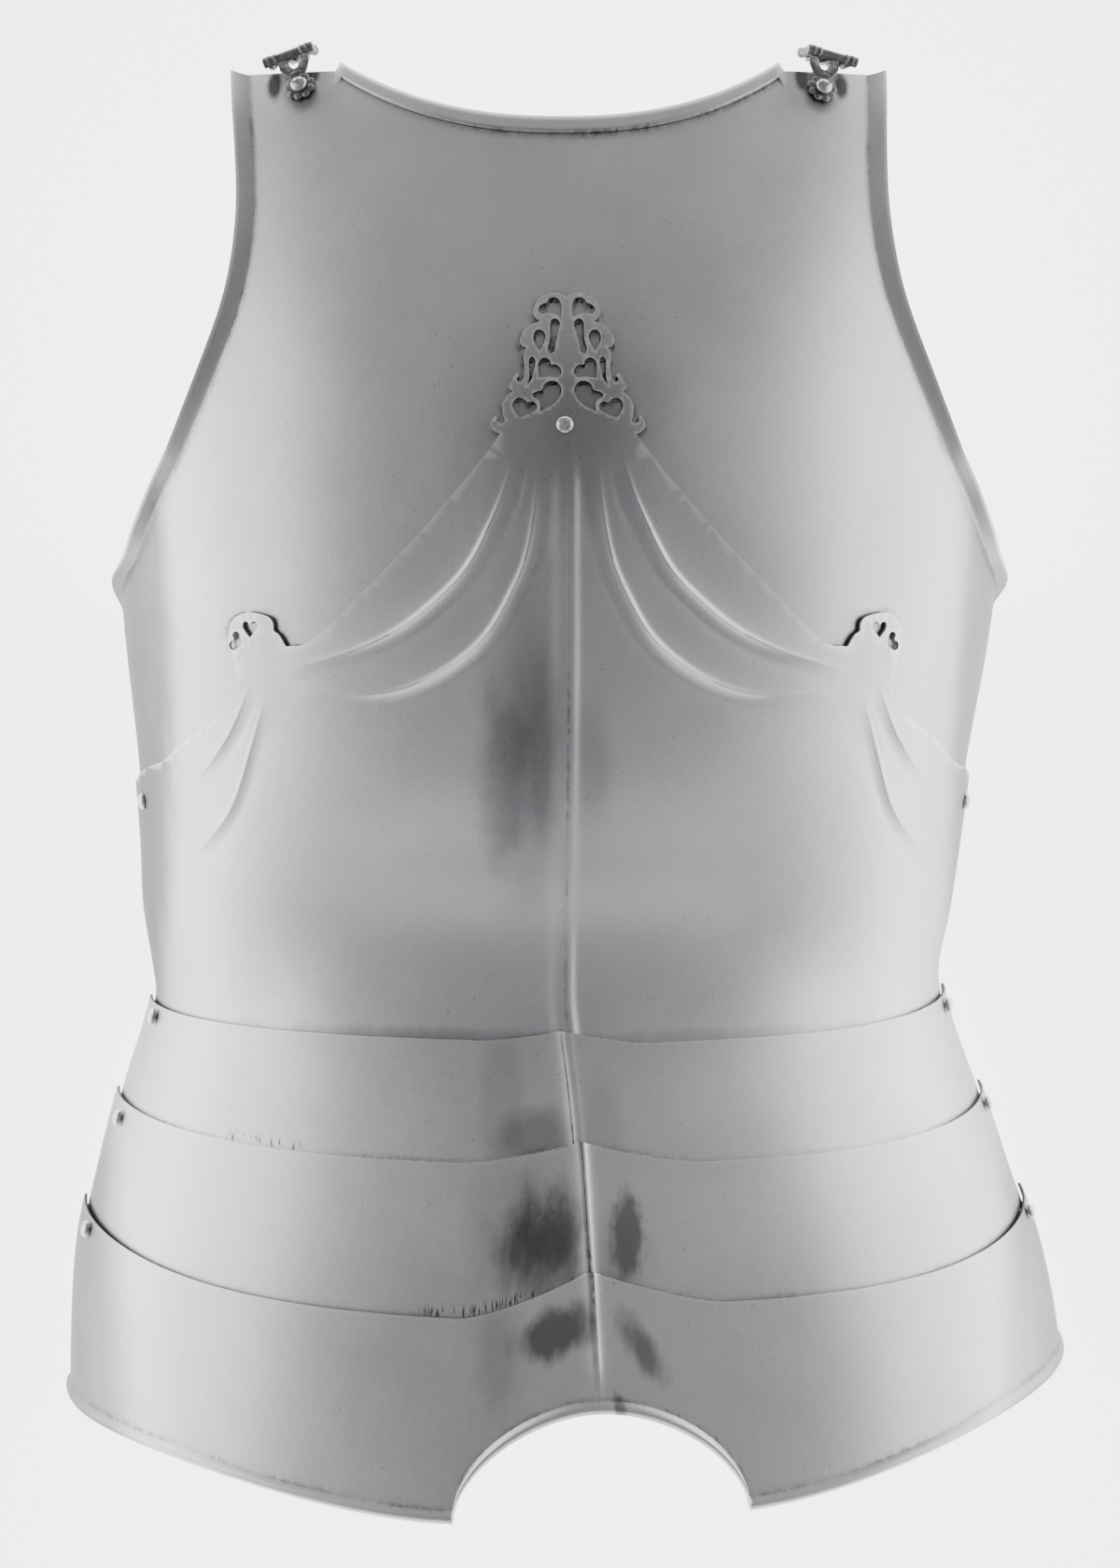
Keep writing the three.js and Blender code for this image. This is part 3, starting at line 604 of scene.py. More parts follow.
@dataclass(frozen=True)
class SteelFinish:
    """Satin polished sheet steel with clouds and file marks, painted shade in its corners, creases and seams, painted
    highlights on its edges, and dark patches that are mostly painted shade and dark reflections.
    """

    name: str
    tone: float = 0.62
    roughness: float = 0.36
    grain: float = 0.05
    pits: float = 1.0
    dark_patches: tuple[DarkPatch, ...] = ()

    def build(self, grain: bpy.types.NodeTree, patch_tree: bpy.types.NodeTree) -> bpy.types.Material:
        """Makes the material.

        Args:
            grain: the polished_grain group.
            patch_tree: the smoky_patch group.

        Returns:
            The material.
        """
        material, tree, shader = metal(self.name)
        shader.inputs["Specular Tint"].default_value = (0.36, 0.35, 0.37, 1)
        fine = tree.add("ShaderNodeGroup")
        fine.node_tree = grain
        fine.inputs["Pits"].default_value = self.pits
        light = (self.tone * 1.07, self.tone * 1.05, self.tone * 1.1, 1)
        dark = (self.tone * 0.9, self.tone * 0.88, self.tone * 0.925, 1)
        streaks = tree.math("MULTIPLY", tree.math("SUBTRACT", fine.outputs["Height"], 1.0), 0.35)
        colour = tree.mix(tree.ramp(tree.math("ADD", fine.outputs["Cloud"], streaks), 0.33, 0.7), dark, light)
        rough = tree.math("ADD", self.roughness, tree.math("MULTIPLY", fine.outputs["Cloud"], 0.08))
        # Dark patches, most of them painted shade and painted dark reflections.
        for patch in self.dark_patches:
            node = tree.add("ShaderNodeGroup")
            node.node_tree = patch_tree
            values = {"Middle X": (patch.x - MIDDLE[0]) * MM, "Middle Y": (patch.height - MIDDLE[1]) * MM,
                      "Half Width": patch.half_width * MM, "Half Height": patch.half_height * MM,
                      "Lean": patch.lean, "Raggedness": patch.ragged, "Softness": patch.soft}
            for label, value in values.items():
                node.inputs[label].default_value = value
            share = tree.math("MULTIPLY", node.outputs["Mask"], patch.strength)
            colour = tree.mix(share, colour, (0.035, 0.033, 0.037, 1))
        place = object_place(tree)
        patchy = tree.ramp(tree.noise(place, 34, 2, 0.5), 0.38, 0.62)
        broken = tree.ramp(tree.noise(tree.stretch(place, (1.0, 0.4, 1.0)), 420, 5, 0.75), 0.36, 0.62)
        streaky = tree.ramp(tree.noise(tree.stretch(place, (1.0, 0.1, 0.3)), 1100, 2, 0.5), 0.53, 0.6)
        # The first attribute is painted shade in corners, creases, seams, rim walls and undersides; the second is a
        # painted highlight along edges; the third is real file marks.
        grime, worn, marks = (self.reader(tree, label) for label in ("grime", "worn", "marks"))
        # Painted shade, broken up by noise where it is weak, and the file marks darken the colour.
        whole = tree.ramp(grime, 0.8, 0.95)
        patched = tree.math("MULTIPLY", broken, tree.math("ADD", tree.math("MULTIPLY", patchy, 0.75), 0.25))
        shade_and_file_marks = tree.math("MULTIPLY", grime, tree.math("MAXIMUM", patched, whole))
        shade_and_file_marks = tree.math("MAXIMUM", shade_and_file_marks, tree.math("MULTIPLY", marks, streaky))
        colour = tree.mix(shade_and_file_marks, colour, (0.022, 0.02, 0.021, 1))
        # Painted highlight along edges: a lighter base colour where a rounded rim would catch the light.
        colour = tree.mix(worn, colour, (0.9, 0.9, 0.92, 1))
        colour = tree.mix(tree.math("MULTIPLY", fine.outputs["Pit"], 0.8), colour, (0.03, 0.03, 0.03, 1))
        tree.join(colour, shader.inputs["Base Color"])
        tree.join(rough, shader.inputs["Roughness"])
        emboss(tree, shader, fine.outputs["Height"], self.grain, 0.0004)
        return material

    @staticmethod
    def reader(tree: Tree, label: str) -> bpy.types.NodeSocket:
        """The value of a point attribute."""
        node = tree.add("ShaderNodeAttribute")
        node.attribute_name = label
        return node.outputs["Fac"]


@dataclass(frozen=True)
class CastFinish:
    """Dull cast steel with a pebbled skin, darker in its hollows and lighter on its high places."""

    name: str = "cast_buckle_steel"
    tone: float = 0.15

    def build(self, grain: bpy.types.NodeTree) -> bpy.types.Material:
        """Makes the material.

        Args:
            grain: the polished_grain group.

        Returns:
            The material.
        """
        material, tree, shader = metal(self.name)
        place = object_place(tree)
        pebble = tree.noise(place, 900, 4, 0.6)
        patchy = tree.noise(place, 260, 3, 0.6)
        geometry = tree.add("ShaderNodeNewGeometry")
        high = tree.ramp(geometry.outputs["Pointiness"], 0.5, 0.56)
        low = tree.ramp(geometry.outputs["Pointiness"], 0.5, 0.44)
        colour = tree.mix(tree.ramp(patchy, 0.35, 0.65), (self.tone * 0.75,) * 3 + (1,), (self.tone * 1.2,) * 3 + (1,))
        colour = tree.mix(tree.math("MULTIPLY", low, 0.7), colour, (0.03, 0.028, 0.027, 1))
        colour = tree.mix(tree.math("MULTIPLY", high, 0.35), colour, (0.42, 0.41, 0.43, 1))
        fine = tree.add("ShaderNodeGroup")
        fine.node_tree = grain
        colour = tree.mix(tree.math("MULTIPLY", fine.outputs["Pit"], 0.6), colour, (0.04, 0.04, 0.04, 1))
        tree.join(colour, shader.inputs["Base Color"])
        tree.join(tree.math("ADD", 0.42, tree.math("MULTIPLY", patchy, 0.25)), shader.inputs["Roughness"])
        emboss(tree, shader, pebble, 0.35, 0.0003)
        return material


@dataclass(frozen=True)
class RivetFinish:
    """Bright hammered rivet steel, with small planished facets."""

    name: str = "rivet_head_steel"

    def build(self) -> bpy.types.Material:
        """Makes the material."""
        material, tree, shader = metal(self.name)
        place = object_place(tree)
        cells = tree.add("ShaderNodeTexVoronoi", scale=620.0)
        tree.join(place, cells.inputs["Vector"])
        tone = tree.noise(place, 500, 3)
        colour = tree.mix(tree.ramp(tone, 0.35, 0.65), (0.42, 0.42, 0.44, 1), (0.66, 0.66, 0.68, 1))
        tree.join(colour, shader.inputs["Base Color"])
        tree.join(tree.math("ADD", 0.26, tree.math("MULTIPLY", tone, 0.12)), shader.inputs["Roughness"])
        emboss(tree, shader, cells.outputs["Distance"], 0.22, 0.0003)
        return material


# ---------------------------------------------------------------- chest plate
@dataclass
class ChestPlate:
    """The plain chest plate, with a rolled neck band and armhole edges turned outwards."""

    finish: bpy.types.Material
    body: str
    flange: float = 6.5
    turn: tuple[float, float] = (358, 377)
    turn_lift: float = 5.2
    neck_low: float = 566.5
    neck_rise: float = 26
    neck_half: float = 93
    neck_power: float = 2.3
    band: float = 7.2
    band_lift: float = 1.3
    strap_angle: float = 80  # degrees
    strap_height: float = 352
    strap_radius: float = 1.7
    bit_length: float = 12

    def neck_edge(self, x: np.ndarray) -> np.ndarray:
        """Height of the top edge at sideways places."""
        share = np.abs(x) / self.neck_half
        return np.where(share < 1, self.neck_low + self.neck_rise * np.clip(share, 0, 1) ** self.neck_power, SHOULDER)

    def angles(self, side_height: np.ndarray, share: np.ndarray, from_edge: np.ndarray) -> np.ndarray:
        """Angle of each column at each height.

        Args:
            side_height: height at the armhole.
            share: signed share of the way to the edge.
            from_edge: distance in from the edge.

        Returns:
            Angles in radians.
        """
        edge = np.radians(np.minimum(ARMHOLE.read("angle", side_height), 90))
        return share * (edge - from_edge / arc_rate(edge, side_height))

    def build(self) -> bpy.types.Object:
        """Builds the plate.

        Returns:
            The piece.
        """
        plain = np.concatenate([np.linspace(0, 0.27, 32), np.linspace(0.27, 0.4, 10)[1:],
                                np.linspace(0.4, 0.62, 36)[1:], np.linspace(0.62, 1, 24)[1:]])
        roll = np.linspace(1, 0, 13)[1:]
        share = np.concatenate([plain, np.ones(12)])
        from_edge = np.concatenate([np.full(plain.size, self.flange), self.flange * roll])
        turned = self.turn_lift * np.concatenate([np.zeros(plain.size), (1 - roll) ** 1.55])
        share = np.concatenate([-share[:0:-1], share])
        from_edge, turned = (np.concatenate([v[:0:-1], v]) for v in (from_edge, turned))
        top_angle = self.angles(np.array(SHOULDER), share, from_edge)
        tops = self.neck_edge(torso_point(top_angle, SHOULDER)[..., 0])
        base = SHOULDER - self.band - 0.8
        rows = np.concatenate([np.arange(CHEST_BOTTOM, 338, 3.4), np.arange(338, 366, 1.25), np.arange(366, 434, 3),
                               np.arange(434, 496, 1.25), np.linspace(496, base, 30)])
        rows_below = rows.size
        in_band = np.concatenate([np.zeros(rows_below, bool), np.ones(10, bool)])
        ladder_in = np.array([1, 0.97, 0.93, 0.87, 0.75, 0.55, 0.35, 0.15, 0.05, 0])
        drop = np.concatenate([np.full(rows.size, self.band + 0.8), self.band * ladder_in])
        ladder = np.concatenate([(rows - CHEST_BOTTOM) / (base - CHEST_BOTTOM), np.ones(10)])
        side_height = np.where(in_band, SHOULDER - drop, CHEST_BOTTOM + ladder * (base - CHEST_BOTTOM))[:, None]
        share_up = (side_height - CHEST_BOTTOM) / (base - CHEST_BOTTOM)
        height = np.where(in_band[:, None], tops - drop[:, None],
                          CHEST_BOTTOM + share_up * (tops - drop[:, None] - CHEST_BOTTOM))
        angle = self.angles(side_height, share[None, :], from_edge[None, :])
        turn_out = smoothstep(side_height, *self.turn) * turned[None, :]
        neck = (tops != SHOULDER) & (np.abs(share) <= 1)
        up_band = np.clip((self.band - drop) / self.band, 0, 1)
        profile = np.where(in_band, smoothstep(up_band, 0.0, 0.1) * (1 - 0.35 * smoothstep(up_band, 0.8, 1.0)), 0)
        raised = self.band_lift * np.clip(profile, 0, 1)[:, None] * neck[None, :]
        outer = lifted(angle, height, CHEST_LIFT + WALL + turn_out + raised)
        inner = lifted(angle, height, CHEST_LIFT + turn_out)
        rows, columns = angle.shape
        points = np.concatenate([outer.reshape(-1, 3), inner.reshape(-1, 3)])
        piece = make_mesh("chest_plate_sheet", points, sheet_faces(rows, columns))
        # Painted shade: along the turned armhole's fold, in a line under the neck band, and round the edges of the
        # overlay's finials and piercings.
        near_fold = np.exp(-((np.abs(from_edge) - self.flange + 0.2) / 0.9) ** 2) * (np.abs(share) > 0.985)
        fold = smoothstep(side_height, 372, 390) * near_fold[None, :]
        under_band = (np.exp(-((drop - self.band - 0.1) / 0.8) ** 2)[:, None] + np.zeros_like(height)) * neck[None, :]
        under_band[:rows_below - 1] = 0
        # Painted highlight along the turned armhole edge.
        rim = smoothstep(side_height, 372, 390) * np.where(from_edge < 0.6, 0.8, 0.0)[None, :]
        shade = self.shade_of(np.stack([points[:angle.size, 0], points[:angle.size, 1]], -1)).reshape(angle.shape)
        both = np.clip(fold * 0.6 + under_band + shade, 0, 1)
        keep_attribute(piece, "grime", np.concatenate([both.ravel(), np.zeros(both.size)]))
        keep_attribute(piece, "worn", np.concatenate([rim.ravel(), np.zeros(rim.size)]))
        self.drill(piece)
        return piece

    def drill(self, piece: bpy.types.Object) -> None:
        """Drills the strap hole in each flank.

        Args:
            piece: the plate, changed in place.
        """
        cutter = bmesh.new()
        for side in (-1, 1):
            angle, height = side * math.radians(self.strap_angle), self.strap_height
            middle = (Vector(torso_point(angle, height).tolist()) - Vector(MIDDLE.tolist())) * MM
            turn = Vector(torso_normal(angle, height).tolist()).to_track_quat("Z", "Y").to_matrix().to_4x4()
            radius = self.strap_radius * MM
            bmesh.ops.create_cone(cutter, cap_ends=True, segments=24, radius1=radius, radius2=radius,
                                  depth=self.bit_length * MM, matrix=Matrix.Translation(middle) @ turn)
        mesh = bpy.data.meshes.new("drill_bits")
        cutter.to_mesh(mesh)
        cutter.free()
        bits = link_piece("drill_bits", mesh)
        cut = piece.modifiers.new("holes", "BOOLEAN")
        cut.operation = "DIFFERENCE"
        cut.solver = "FAST"
        cut.object = bits
        drilled = finished_mesh(piece)
        piece.modifiers.clear()
        piece.data = drilled
        bpy.data.objects.remove(bits, do_unlink=True)

    def shade_of(self, seen: np.ndarray) -> np.ndarray:
        """How dark the plate is in the shade of the overlay's finials.

        Args:
            seen: places across and up.

        Returns:
            The shade at each place.
        """
        shade = np.zeros(len(seen))
        loops = [smooth_line(FINIAL, 0.8), smooth_line(SIDE_FINIAL[2:-3], 0.8)]
        loops += [smooth_line([*points, points[0]], 0.8) for points in PIERCINGS.values()]
        for loop in loops:
            low, high = loop.min(axis=0) - 3, loop.max(axis=0) + 3
            for side in (1, -1):
                turned = seen * (side, 1)
                near = np.where(np.all((turned > low) & (turned < high), axis=1))[0]
                gaps = np.linalg.norm(turned[near][:, None, :] - (loop - (0, 0.7))[None, :, :], axis=-1).min(axis=1)
                shade[near] = np.maximum(shade[near], np.exp(-(gaps / 1.35) ** 2))
        return shade

    def dress(self, piece: bpy.types.Object) -> None:
        """Dresses the plate."""
        dress(piece, self.finish, Slot.PLATE, self.body, "chest_plate")


# ---------------------------------------------------------------- plackart
TOP_INNER = [(30, 430), (40, 417.5), (58, 397), (72, 382.5), (85, 369.5), (97, 357.5), (105, 351.3)]
TOP_OUTER = [(134.8, 333.6), (136.5, 326), (147.5, 316), (158.5, 308), (167, 299), (177.5, 293), (182, 286.5)]
FINIAL = [
    (0, 489.0), (2.0, 490.2), (5.3, 491.0), (8.5, 490.0), (11.7, 487.7), (13.4, 484.0), (13.0, 481.3), (11.5, 479.6),
    (10.4, 479.2), (11.9, 478.8), (14.9, 477.6), (17.6, 475.1), (19.0, 471.9), (18.5, 469.8), (17.0, 468.7),
    (15.6, 468.9), (16.9, 468.0), (17.6, 464.2), (17.0, 460.0), (17.4, 457.9), (17.6, 456.3), (18.6, 454.9),
    (20.1, 455.1), (20.4, 456.3), (19.4, 457.3), (20.2, 458.3), (21.8, 456.9), (22.3, 455.1), (23.4, 453.6),
    (23.2, 452.0), (22.1, 451.0), (23.1, 450.2), (25.0, 448.3), (26.3, 445.1), (26.1, 441.9), (25.3, 439.8),
    (26.0, 438.4), (27.5, 438.4), (28.5, 439.4), (28.4, 440.9), (29.6, 441.0), (30.9, 438.9), (30.7, 436.6),
    (28.9, 434.8), (27.2, 434.2),
]
SIDE_FINIAL = [(109.1, 349.8), (112.9, 349.7), (114.6, 349.4), (116.5, 352.5), (118.1, 354.5), (119.9, 355.6),
               (120.1, 358.4), (121.4, 360.6), (123.9, 361.8), (130.1, 363.0), (133, 362.4), (136.2, 360.6),
               (138.2, 357.7), (139.1, 352.2), (138.6, 347.7), (136.4, 342.8), (135.9, 338.6)]
PIERCINGS = {
    "crown_heart": [(2.4, 480.8), (2.1, 483.4), (2.3, 486.4), (3.4, 488.4), (5.3, 489.1), (7.2, 488.3), (8.0, 486.8),
                    (9.6, 486.4), (11.2, 485.0), (11.4, 483.2), (10.1, 482.1), (8.0, 482.5), (5.3, 482.1)],
    "tall_drop": [(7.4, 465.9), (5.3, 466.9), (4.6, 470.6), (3.5, 474.9), (2.8, 478.1), (3.6, 479.8), (5.3, 480.3),
                  (6.7, 478.8), (6.8, 476.0), (7.0, 471.7), (7.9, 468.3)],
    "round_drop": [(11.2, 467.2), (9.5, 470.0), (8.7, 472.8), (9.4, 475.0), (11.2, 475.9), (12.9, 475.0),
                   (13.6, 472.4), (12.9, 469.9)],
    "slim_drop": [(16.4, 453.0), (14.3, 456.3), (13.3, 460.0), (12.8, 463.2), (14.1, 465.0), (15.4, 463.7),
                  (15.5, 461.1), (15.4, 456.8)],
    "left_heart": [(11.6, 456.4), (11.8, 461.0), (11.2, 463.4), (9.1, 464.6), (7.1, 463.5), (6.5, 461.8), (4.7, 461.8),
                   (2.9, 460.3), (2.5, 458.4), (3.9, 456.7), (6.4, 456.8), (9.1, 456.7)],
    "great_heart": [(11.3, 442.9), (6.4, 445.4), (3.4, 448.6), (2.6, 452.0), (4.2, 454.6), (6.9, 455.2), (9.4, 453.8),
                    (10.3, 451.7), (12.2, 451.1), (14.2, 449.9), (13.4, 448.4), (11.7, 447.4), (11.0, 445.3)],
    "foot_heart": [(19.4, 440.4), (15.4, 442.0), (12.8, 443.6), (12.5, 445.6), (14.1, 447.0), (16.1, 446.6),
                   (17.6, 447.9), (19.7, 448.6), (21.7, 447.1), (22.1, 444.9), (20.9, 442.3)],
    "side_heart": [(128.6, 352.6), (126.6, 355.0), (125.2, 357.4), (126.0, 359.2), (127.6, 359.1), (128.5, 357.9),
                   (129.6, 359.1), (131.2, 359.0), (131.6, 357.0), (130.4, 354.8)],
    "side_leaf": [(131.8, 350.1), (132.5, 352.6), (133.2, 354.5), (134.6, 355.1), (135.9, 353.9), (135.4, 351.7),
                  (136.7, 350.9), (137.3, 349.3), (136.6, 347.8), (135.1, 347.5), (133.3, 348.7)],
}
FLUTES = (
    ((22, 425), (26, 411), (32.5, 396), (41, 381), (53, 368.5), (67, 357.5), (83, 349.5), (98, 344.5), (112, 340.5)),
    ((12, 422), (13.5, 405), (17, 386), (23.5, 370.5), (32, 356), (43, 345.5), (56, 337.5), (69, 332.5),
     (83, 330.5), (98, 331), (108, 332)),
    ((129, 333), (137.5, 313), (150, 295), (162.5, 282)),
    ((122.5, 328), (128, 309), (136, 284), (146, 268.5), (156.5, 257), (166, 253), (175, 255), (179.5, 260)),
)


def smooth_line(points: list[tuple[float, ...]] | np.ndarray, step: float) -> np.ndarray:
    """Points at even steps along a smooth curve through a few points.

    Args:
        points: the points that the curve passes.
        step: distance between the new points.

    Returns:
        The new points, both ends among them.
    """
    p = np.asarray(points, float)
    ends = np.concatenate([[2 * p[0] - p[1]], p, [2 * p[-1] - p[-2]]])
    fine = []
    for i in range(len(p) - 1):
        a, b, c, d = ends[i:i + 4]
        t = np.linspace(0, 1, 24, endpoint=False)[:, None]
        fine.append(0.5 * (2 * b + (c - a) * t + (2 * a - 5 * b + 4 * c - d) * t ** 2
                           + (3 * b - a - 3 * c + d) * t ** 3))
    line = np.concatenate([*fine, p[-1:]])
    along = np.concatenate([[0], np.cumsum(np.linalg.norm(np.diff(line, axis=0), axis=1))])
    count = max(int(round(along[-1] / step)), 2)
    places = np.linspace(0, along[-1], count + 1)
    return np.stack([np.interp(places, along, line[:, k]) for k in range(line.shape[1])], -1)


def inside(points: np.ndarray, ring: np.ndarray) -> np.ndarray:
    """Whether each point lies in a closed ring."""
    x, y = points[:, 0], points[:, 1]
    found = np.zeros(len(points), bool)
    x1, y1 = ring[:, 0], ring[:, 1]
    x2, y2 = np.roll(x1, -1), np.roll(y1, -1)
    for a, b, c, d in zip(x1, y1, x2, y2):
        crosses = (b > y) != (d > y)
        if crosses.any():
            at = (c - a) * (y - b) / (d - b + 1e-12) + a
            found ^= crosses & (x < at)
    return found


def nearest_gap(points: np.ndarray, others: np.ndarray) -> np.ndarray:
    """Distance from each point to the nearest of the others, a part at a time to spare memory."""
    gap = np.full(len(points), np.inf)
    for part in np.array_split(others, 8):
        gap = np.minimum(gap, np.linalg.norm(points[:, None, :] - part[None, :, :], axis=-1).min(axis=1))
    return gap


def on_sheet(points: np.ndarray, ring: np.ndarray, holes: list[np.ndarray]) -> np.ndarray:
    """Whether each point lies in the ring and in none of the holes."""
    keep = inside(points, ring)
    for hole in holes:
        keep &= ~inside(points, hole)
    return keep


@dataclass
class Plackart:
    """The lower overlay, cut to its outline, pierced in its finials and raised in flutes."""

    finish: bpy.types.Material
    body: str
    spacing: float = 4.2
    near_flute: float = 1.25
    flute_foot: float = 4.4
    flute_rise: float = 1.75
    border_gap: float = 0.45
    domain: float = 190.0
    flute_lines: list[np.ndarray] = field(default_factory=list)

    def to_flat(self, points: np.ndarray) -> np.ndarray:
        """Front-view points as points of the unrolled sheet."""
        outer = PLACKART_LIFT + WALL
        return np.stack([angle_at(points[:, 0], points[:, 1], outer) * self.domain, points[:, 1]], -1)

    def ring(self) -> np.ndarray:
        """The sheet's outline, unrolled.

        Returns:
            Points of the closed ring.
        """
        flat_right = self.to_flat(np.concatenate([
            smooth_line(FINIAL, 0.7)[1:], smooth_line(TOP_INNER, 3.0), smooth_line(SIDE_FINIAL, 1.2),
            smooth_line(TOP_OUTER, 3.0)[1:]]))
        corner = np.array([[math.pi / 2 * self.domain, 284.5]])
        down = np.array([[math.pi / 2 * self.domain, h] for h in np.arange(281, PLACKART_BOTTOM, -4.0)])
        bottom = np.array([[u, PLACKART_BOTTOM] for u in np.arange(math.pi / 2 * self.domain, 2, -5.0)])
        half = np.concatenate([flat_right, corner, down, bottom])
        notch = self.to_flat(np.array([FINIAL[0]], float))
        left = half[::-1] * (-1, 1)
        return np.concatenate([notch, half, [[0.0, PLACKART_BOTTOM]], left])

    def holes(self) -> list[np.ndarray]:
        """The pierced outlines, unrolled."""
        loops = [smooth_line([*points, points[0]], 0.6)[:-1] for points in PIERCINGS.values()]
        return [self.to_flat(loop * (side, 1)) for loop in loops for side in (1, -1)]

    def crest_lines(self) -> list[np.ndarray]:
        """The flutes' crests, unrolled."""
        lines = []
        for crest in FLUTES:
            for side in (1, -1):
                lines.append(self.to_flat(smooth_line([(side * x, h) for x, h in crest], self.near_flute)))
        return lines

    def fill(self, ring: np.ndarray, holes: list[np.ndarray]) -> np.ndarray:
        """Points inside the sheet: an even field, closer along the flutes.

        Args:
            ring: the outline.
            holes: the pierced outlines.

        Returns:
            Points of the unrolled sheet.
        """
        us = np.arange(-math.pi / 2 * self.domain + 2, math.pi / 2 * self.domain - 1, self.spacing)
        hs = np.arange(PLACKART_BOTTOM + 2, 492, self.spacing)
        grid = np.stack(np.meshgrid(us, hs), -1).reshape(-1, 2)
        grid[:, 0] += np.where((np.round((grid[:, 1] - hs[0]) / self.spacing) % 2) > 0, self.spacing / 2, 0)
        fine = np.arange(-34, 34.1, 1.5)
        finial = np.stack(np.meshgrid(fine, np.arange(434, 492, 1.5)), -1).reshape(-1, 2)
        keel = np.stack(np.meshgrid(KEEL_COLUMNS, np.arange(PLACKART_BOTTOM + 1, 436, 2.6)), -1).reshape(-1, 2)
        distance = nearest_gap(grid, np.concatenate(self.flute_lines))
        in_finial = (np.abs(grid[:, 0]) < 35) & (grid[:, 1] > 433)
        on_keel = (np.abs(grid[:, 0]) < 9.0) & (grid[:, 1] < 437)
        grid = grid[(distance > self.flute_foot * 1.75 + 1.2) & ~in_finial & ~on_keel]
        beside = []
        for line in self.flute_lines:
            run = np.gradient(line, axis=0)
            run /= np.linalg.norm(run, axis=1, keepdims=True)
            across = np.stack([-run[:, 1], run[:, 0]], -1)
            along = np.linspace(0, 1, len(line))
            taper = (0.45 + 0.55 * np.sin(np.pi * along) ** 0.55)[:, None]
            for share in FLUTE_COLUMNS:
                beside.append(line + across * share * self.flute_foot * taper)
        points = np.concatenate([grid, finial, keel, *beside])
        points = points[on_sheet(points, ring, holes)]
        return points[nearest_gap(points, np.concatenate([ring, *holes])) > self.border_gap]

    def relief(self, flat: np.ndarray) -> tuple[np.ndarray, np.ndarray]:
        """Rise of the flutes and the keel.

        Args:
            flat: points of the unrolled sheet.

        Returns:
            The rise, and how near each point is to a flute's foot.
        """
        rise = np.zeros(len(flat))
        foot = np.zeros(len(flat))
        for number, line in enumerate(self.flute_lines):
            low, high = line.min(axis=0) - 12, line.max(axis=0) + 12
            near = np.where(np.all((flat > low) & (flat < high), axis=1))[0]
            away = flat[near][:, None, :] - line[None, :, :]
            gaps = np.linalg.norm(away, axis=-1)
            nearest = gaps.argmin(axis=1)
            run = np.gradient(line, axis=0)[nearest]
            step = away[np.arange(len(near)), nearest]
            outwards = np.sign(run[:, 0] * step[:, 1] - run[:, 1] * step[:, 0]) * (1 if number % 2 == 0 else -1)
            share = outwards * gaps.min(axis=1) / self.flute_foot
            along = nearest / (len(line) - 1)
            height = np.sin(np.pi * np.clip(along, 0.0, 1.0)) ** 0.7 * (1 - 0.6 * smoothstep(along, 0.45, 1.0))
            height = height * (1.0 if number < 4 else 0.42)
            crest = 0.55 * np.exp(-(np.abs(share) / 0.24) ** 1.5)
            shoulder = 0.45 * np.exp(-(share / np.where(share > 0, 1.25, 0.6)) ** 2)
            hollow = 0.26 * np.exp(-((share + 1.15) / 0.5) ** 2)
            ridge = (crest + shoulder - hollow) * height * self.flute_rise
            rise[near] = np.where(np.abs(ridge) > np.abs(rise[near]), ridge, rise[near])
            # Nearness to the flute's foot on its shadow side, for painted shade there.
            foot[near] = np.maximum(foot[near], np.exp(-((share + 1.0) / 0.3) ** 2) * height)
        fade = 1 - smoothstep(flat[:, 1], KEEL.fade_from, KEEL.fade_to)
        distance = flat[:, 0] / self.domain * arc_rate(np.zeros(len(flat)), flat[:, 1])
        return rise + KEEL.rise_at(distance) * fade, foot

    def build(self) -> bpy.types.Object:
        """Builds the overlay.

        Returns:
            The piece.
        """
        ring = self.ring()
        holes = self.holes()
        self.flute_lines = self.crest_lines()
        points = [ring, *holes]
        edges = []
        start = 0
        for loop in points:
            count = len(loop)
            edges += [(start + i, start + (i + 1) % count) for i in range(count)]
            start += count
        inner_lines = []
        for line in self.flute_lines:
            kept = line[inside(line, ring)]
            inner_lines.append(kept)
            edges += [(start + i, start + i + 1) for i in range(len(kept) - 1)]
            start += len(kept)
        every = np.concatenate([*points, *inner_lines, self.fill(ring, holes)])
        result = delaunay_2d_cdt([Vector(p) for p in every.tolist()], edges, [], 0, 0.02)
        flat = np.array([tuple(v) for v in result[0]])
        faces = np.array([tuple(f) for f in result[2]])
        faces = faces[on_sheet(flat[faces].mean(axis=1), ring, holes)]
        a, b, c = flat[faces[:, 0]], flat[faces[:, 1]], flat[faces[:, 2]]
        turn = (b[:, 0] - a[:, 0]) * (c[:, 1] - a[:, 1]) - (b[:, 1] - a[:, 1]) * (c[:, 0] - a[:, 0])
        faces[turn < 0] = faces[turn < 0][:, ::-1]
        used, faces = np.unique(faces, return_inverse=True)
        faces = faces.reshape(-1, 3)
        flat = flat[used]
        rise, foot = self.relief(flat)
        angle = flat[:, 0] / self.domain
        outer = lifted(angle, flat[:, 1], PLACKART_LIFT + WALL + rise)
        under = lifted(angle, flat[:, 1], PLACKART_LIFT + np.maximum(rise, 0) * 0.6)
        count = len(flat)
        sides = np.concatenate([faces[:, [0, 1]], faces[:, [1, 2]], faces[:, [2, 0]]])
        keys = sides.min(axis=1) * count + sides.max(axis=1)
        _, first, seen = np.unique(keys, return_index=True, return_counts=True)
        rim = sides[first[seen == 1]]
        walls = [[q, p, p + count, q + count] for p, q in rim.tolist()]
        tops = faces.tolist()
        unders = (faces[:, ::-1] + count).tolist()
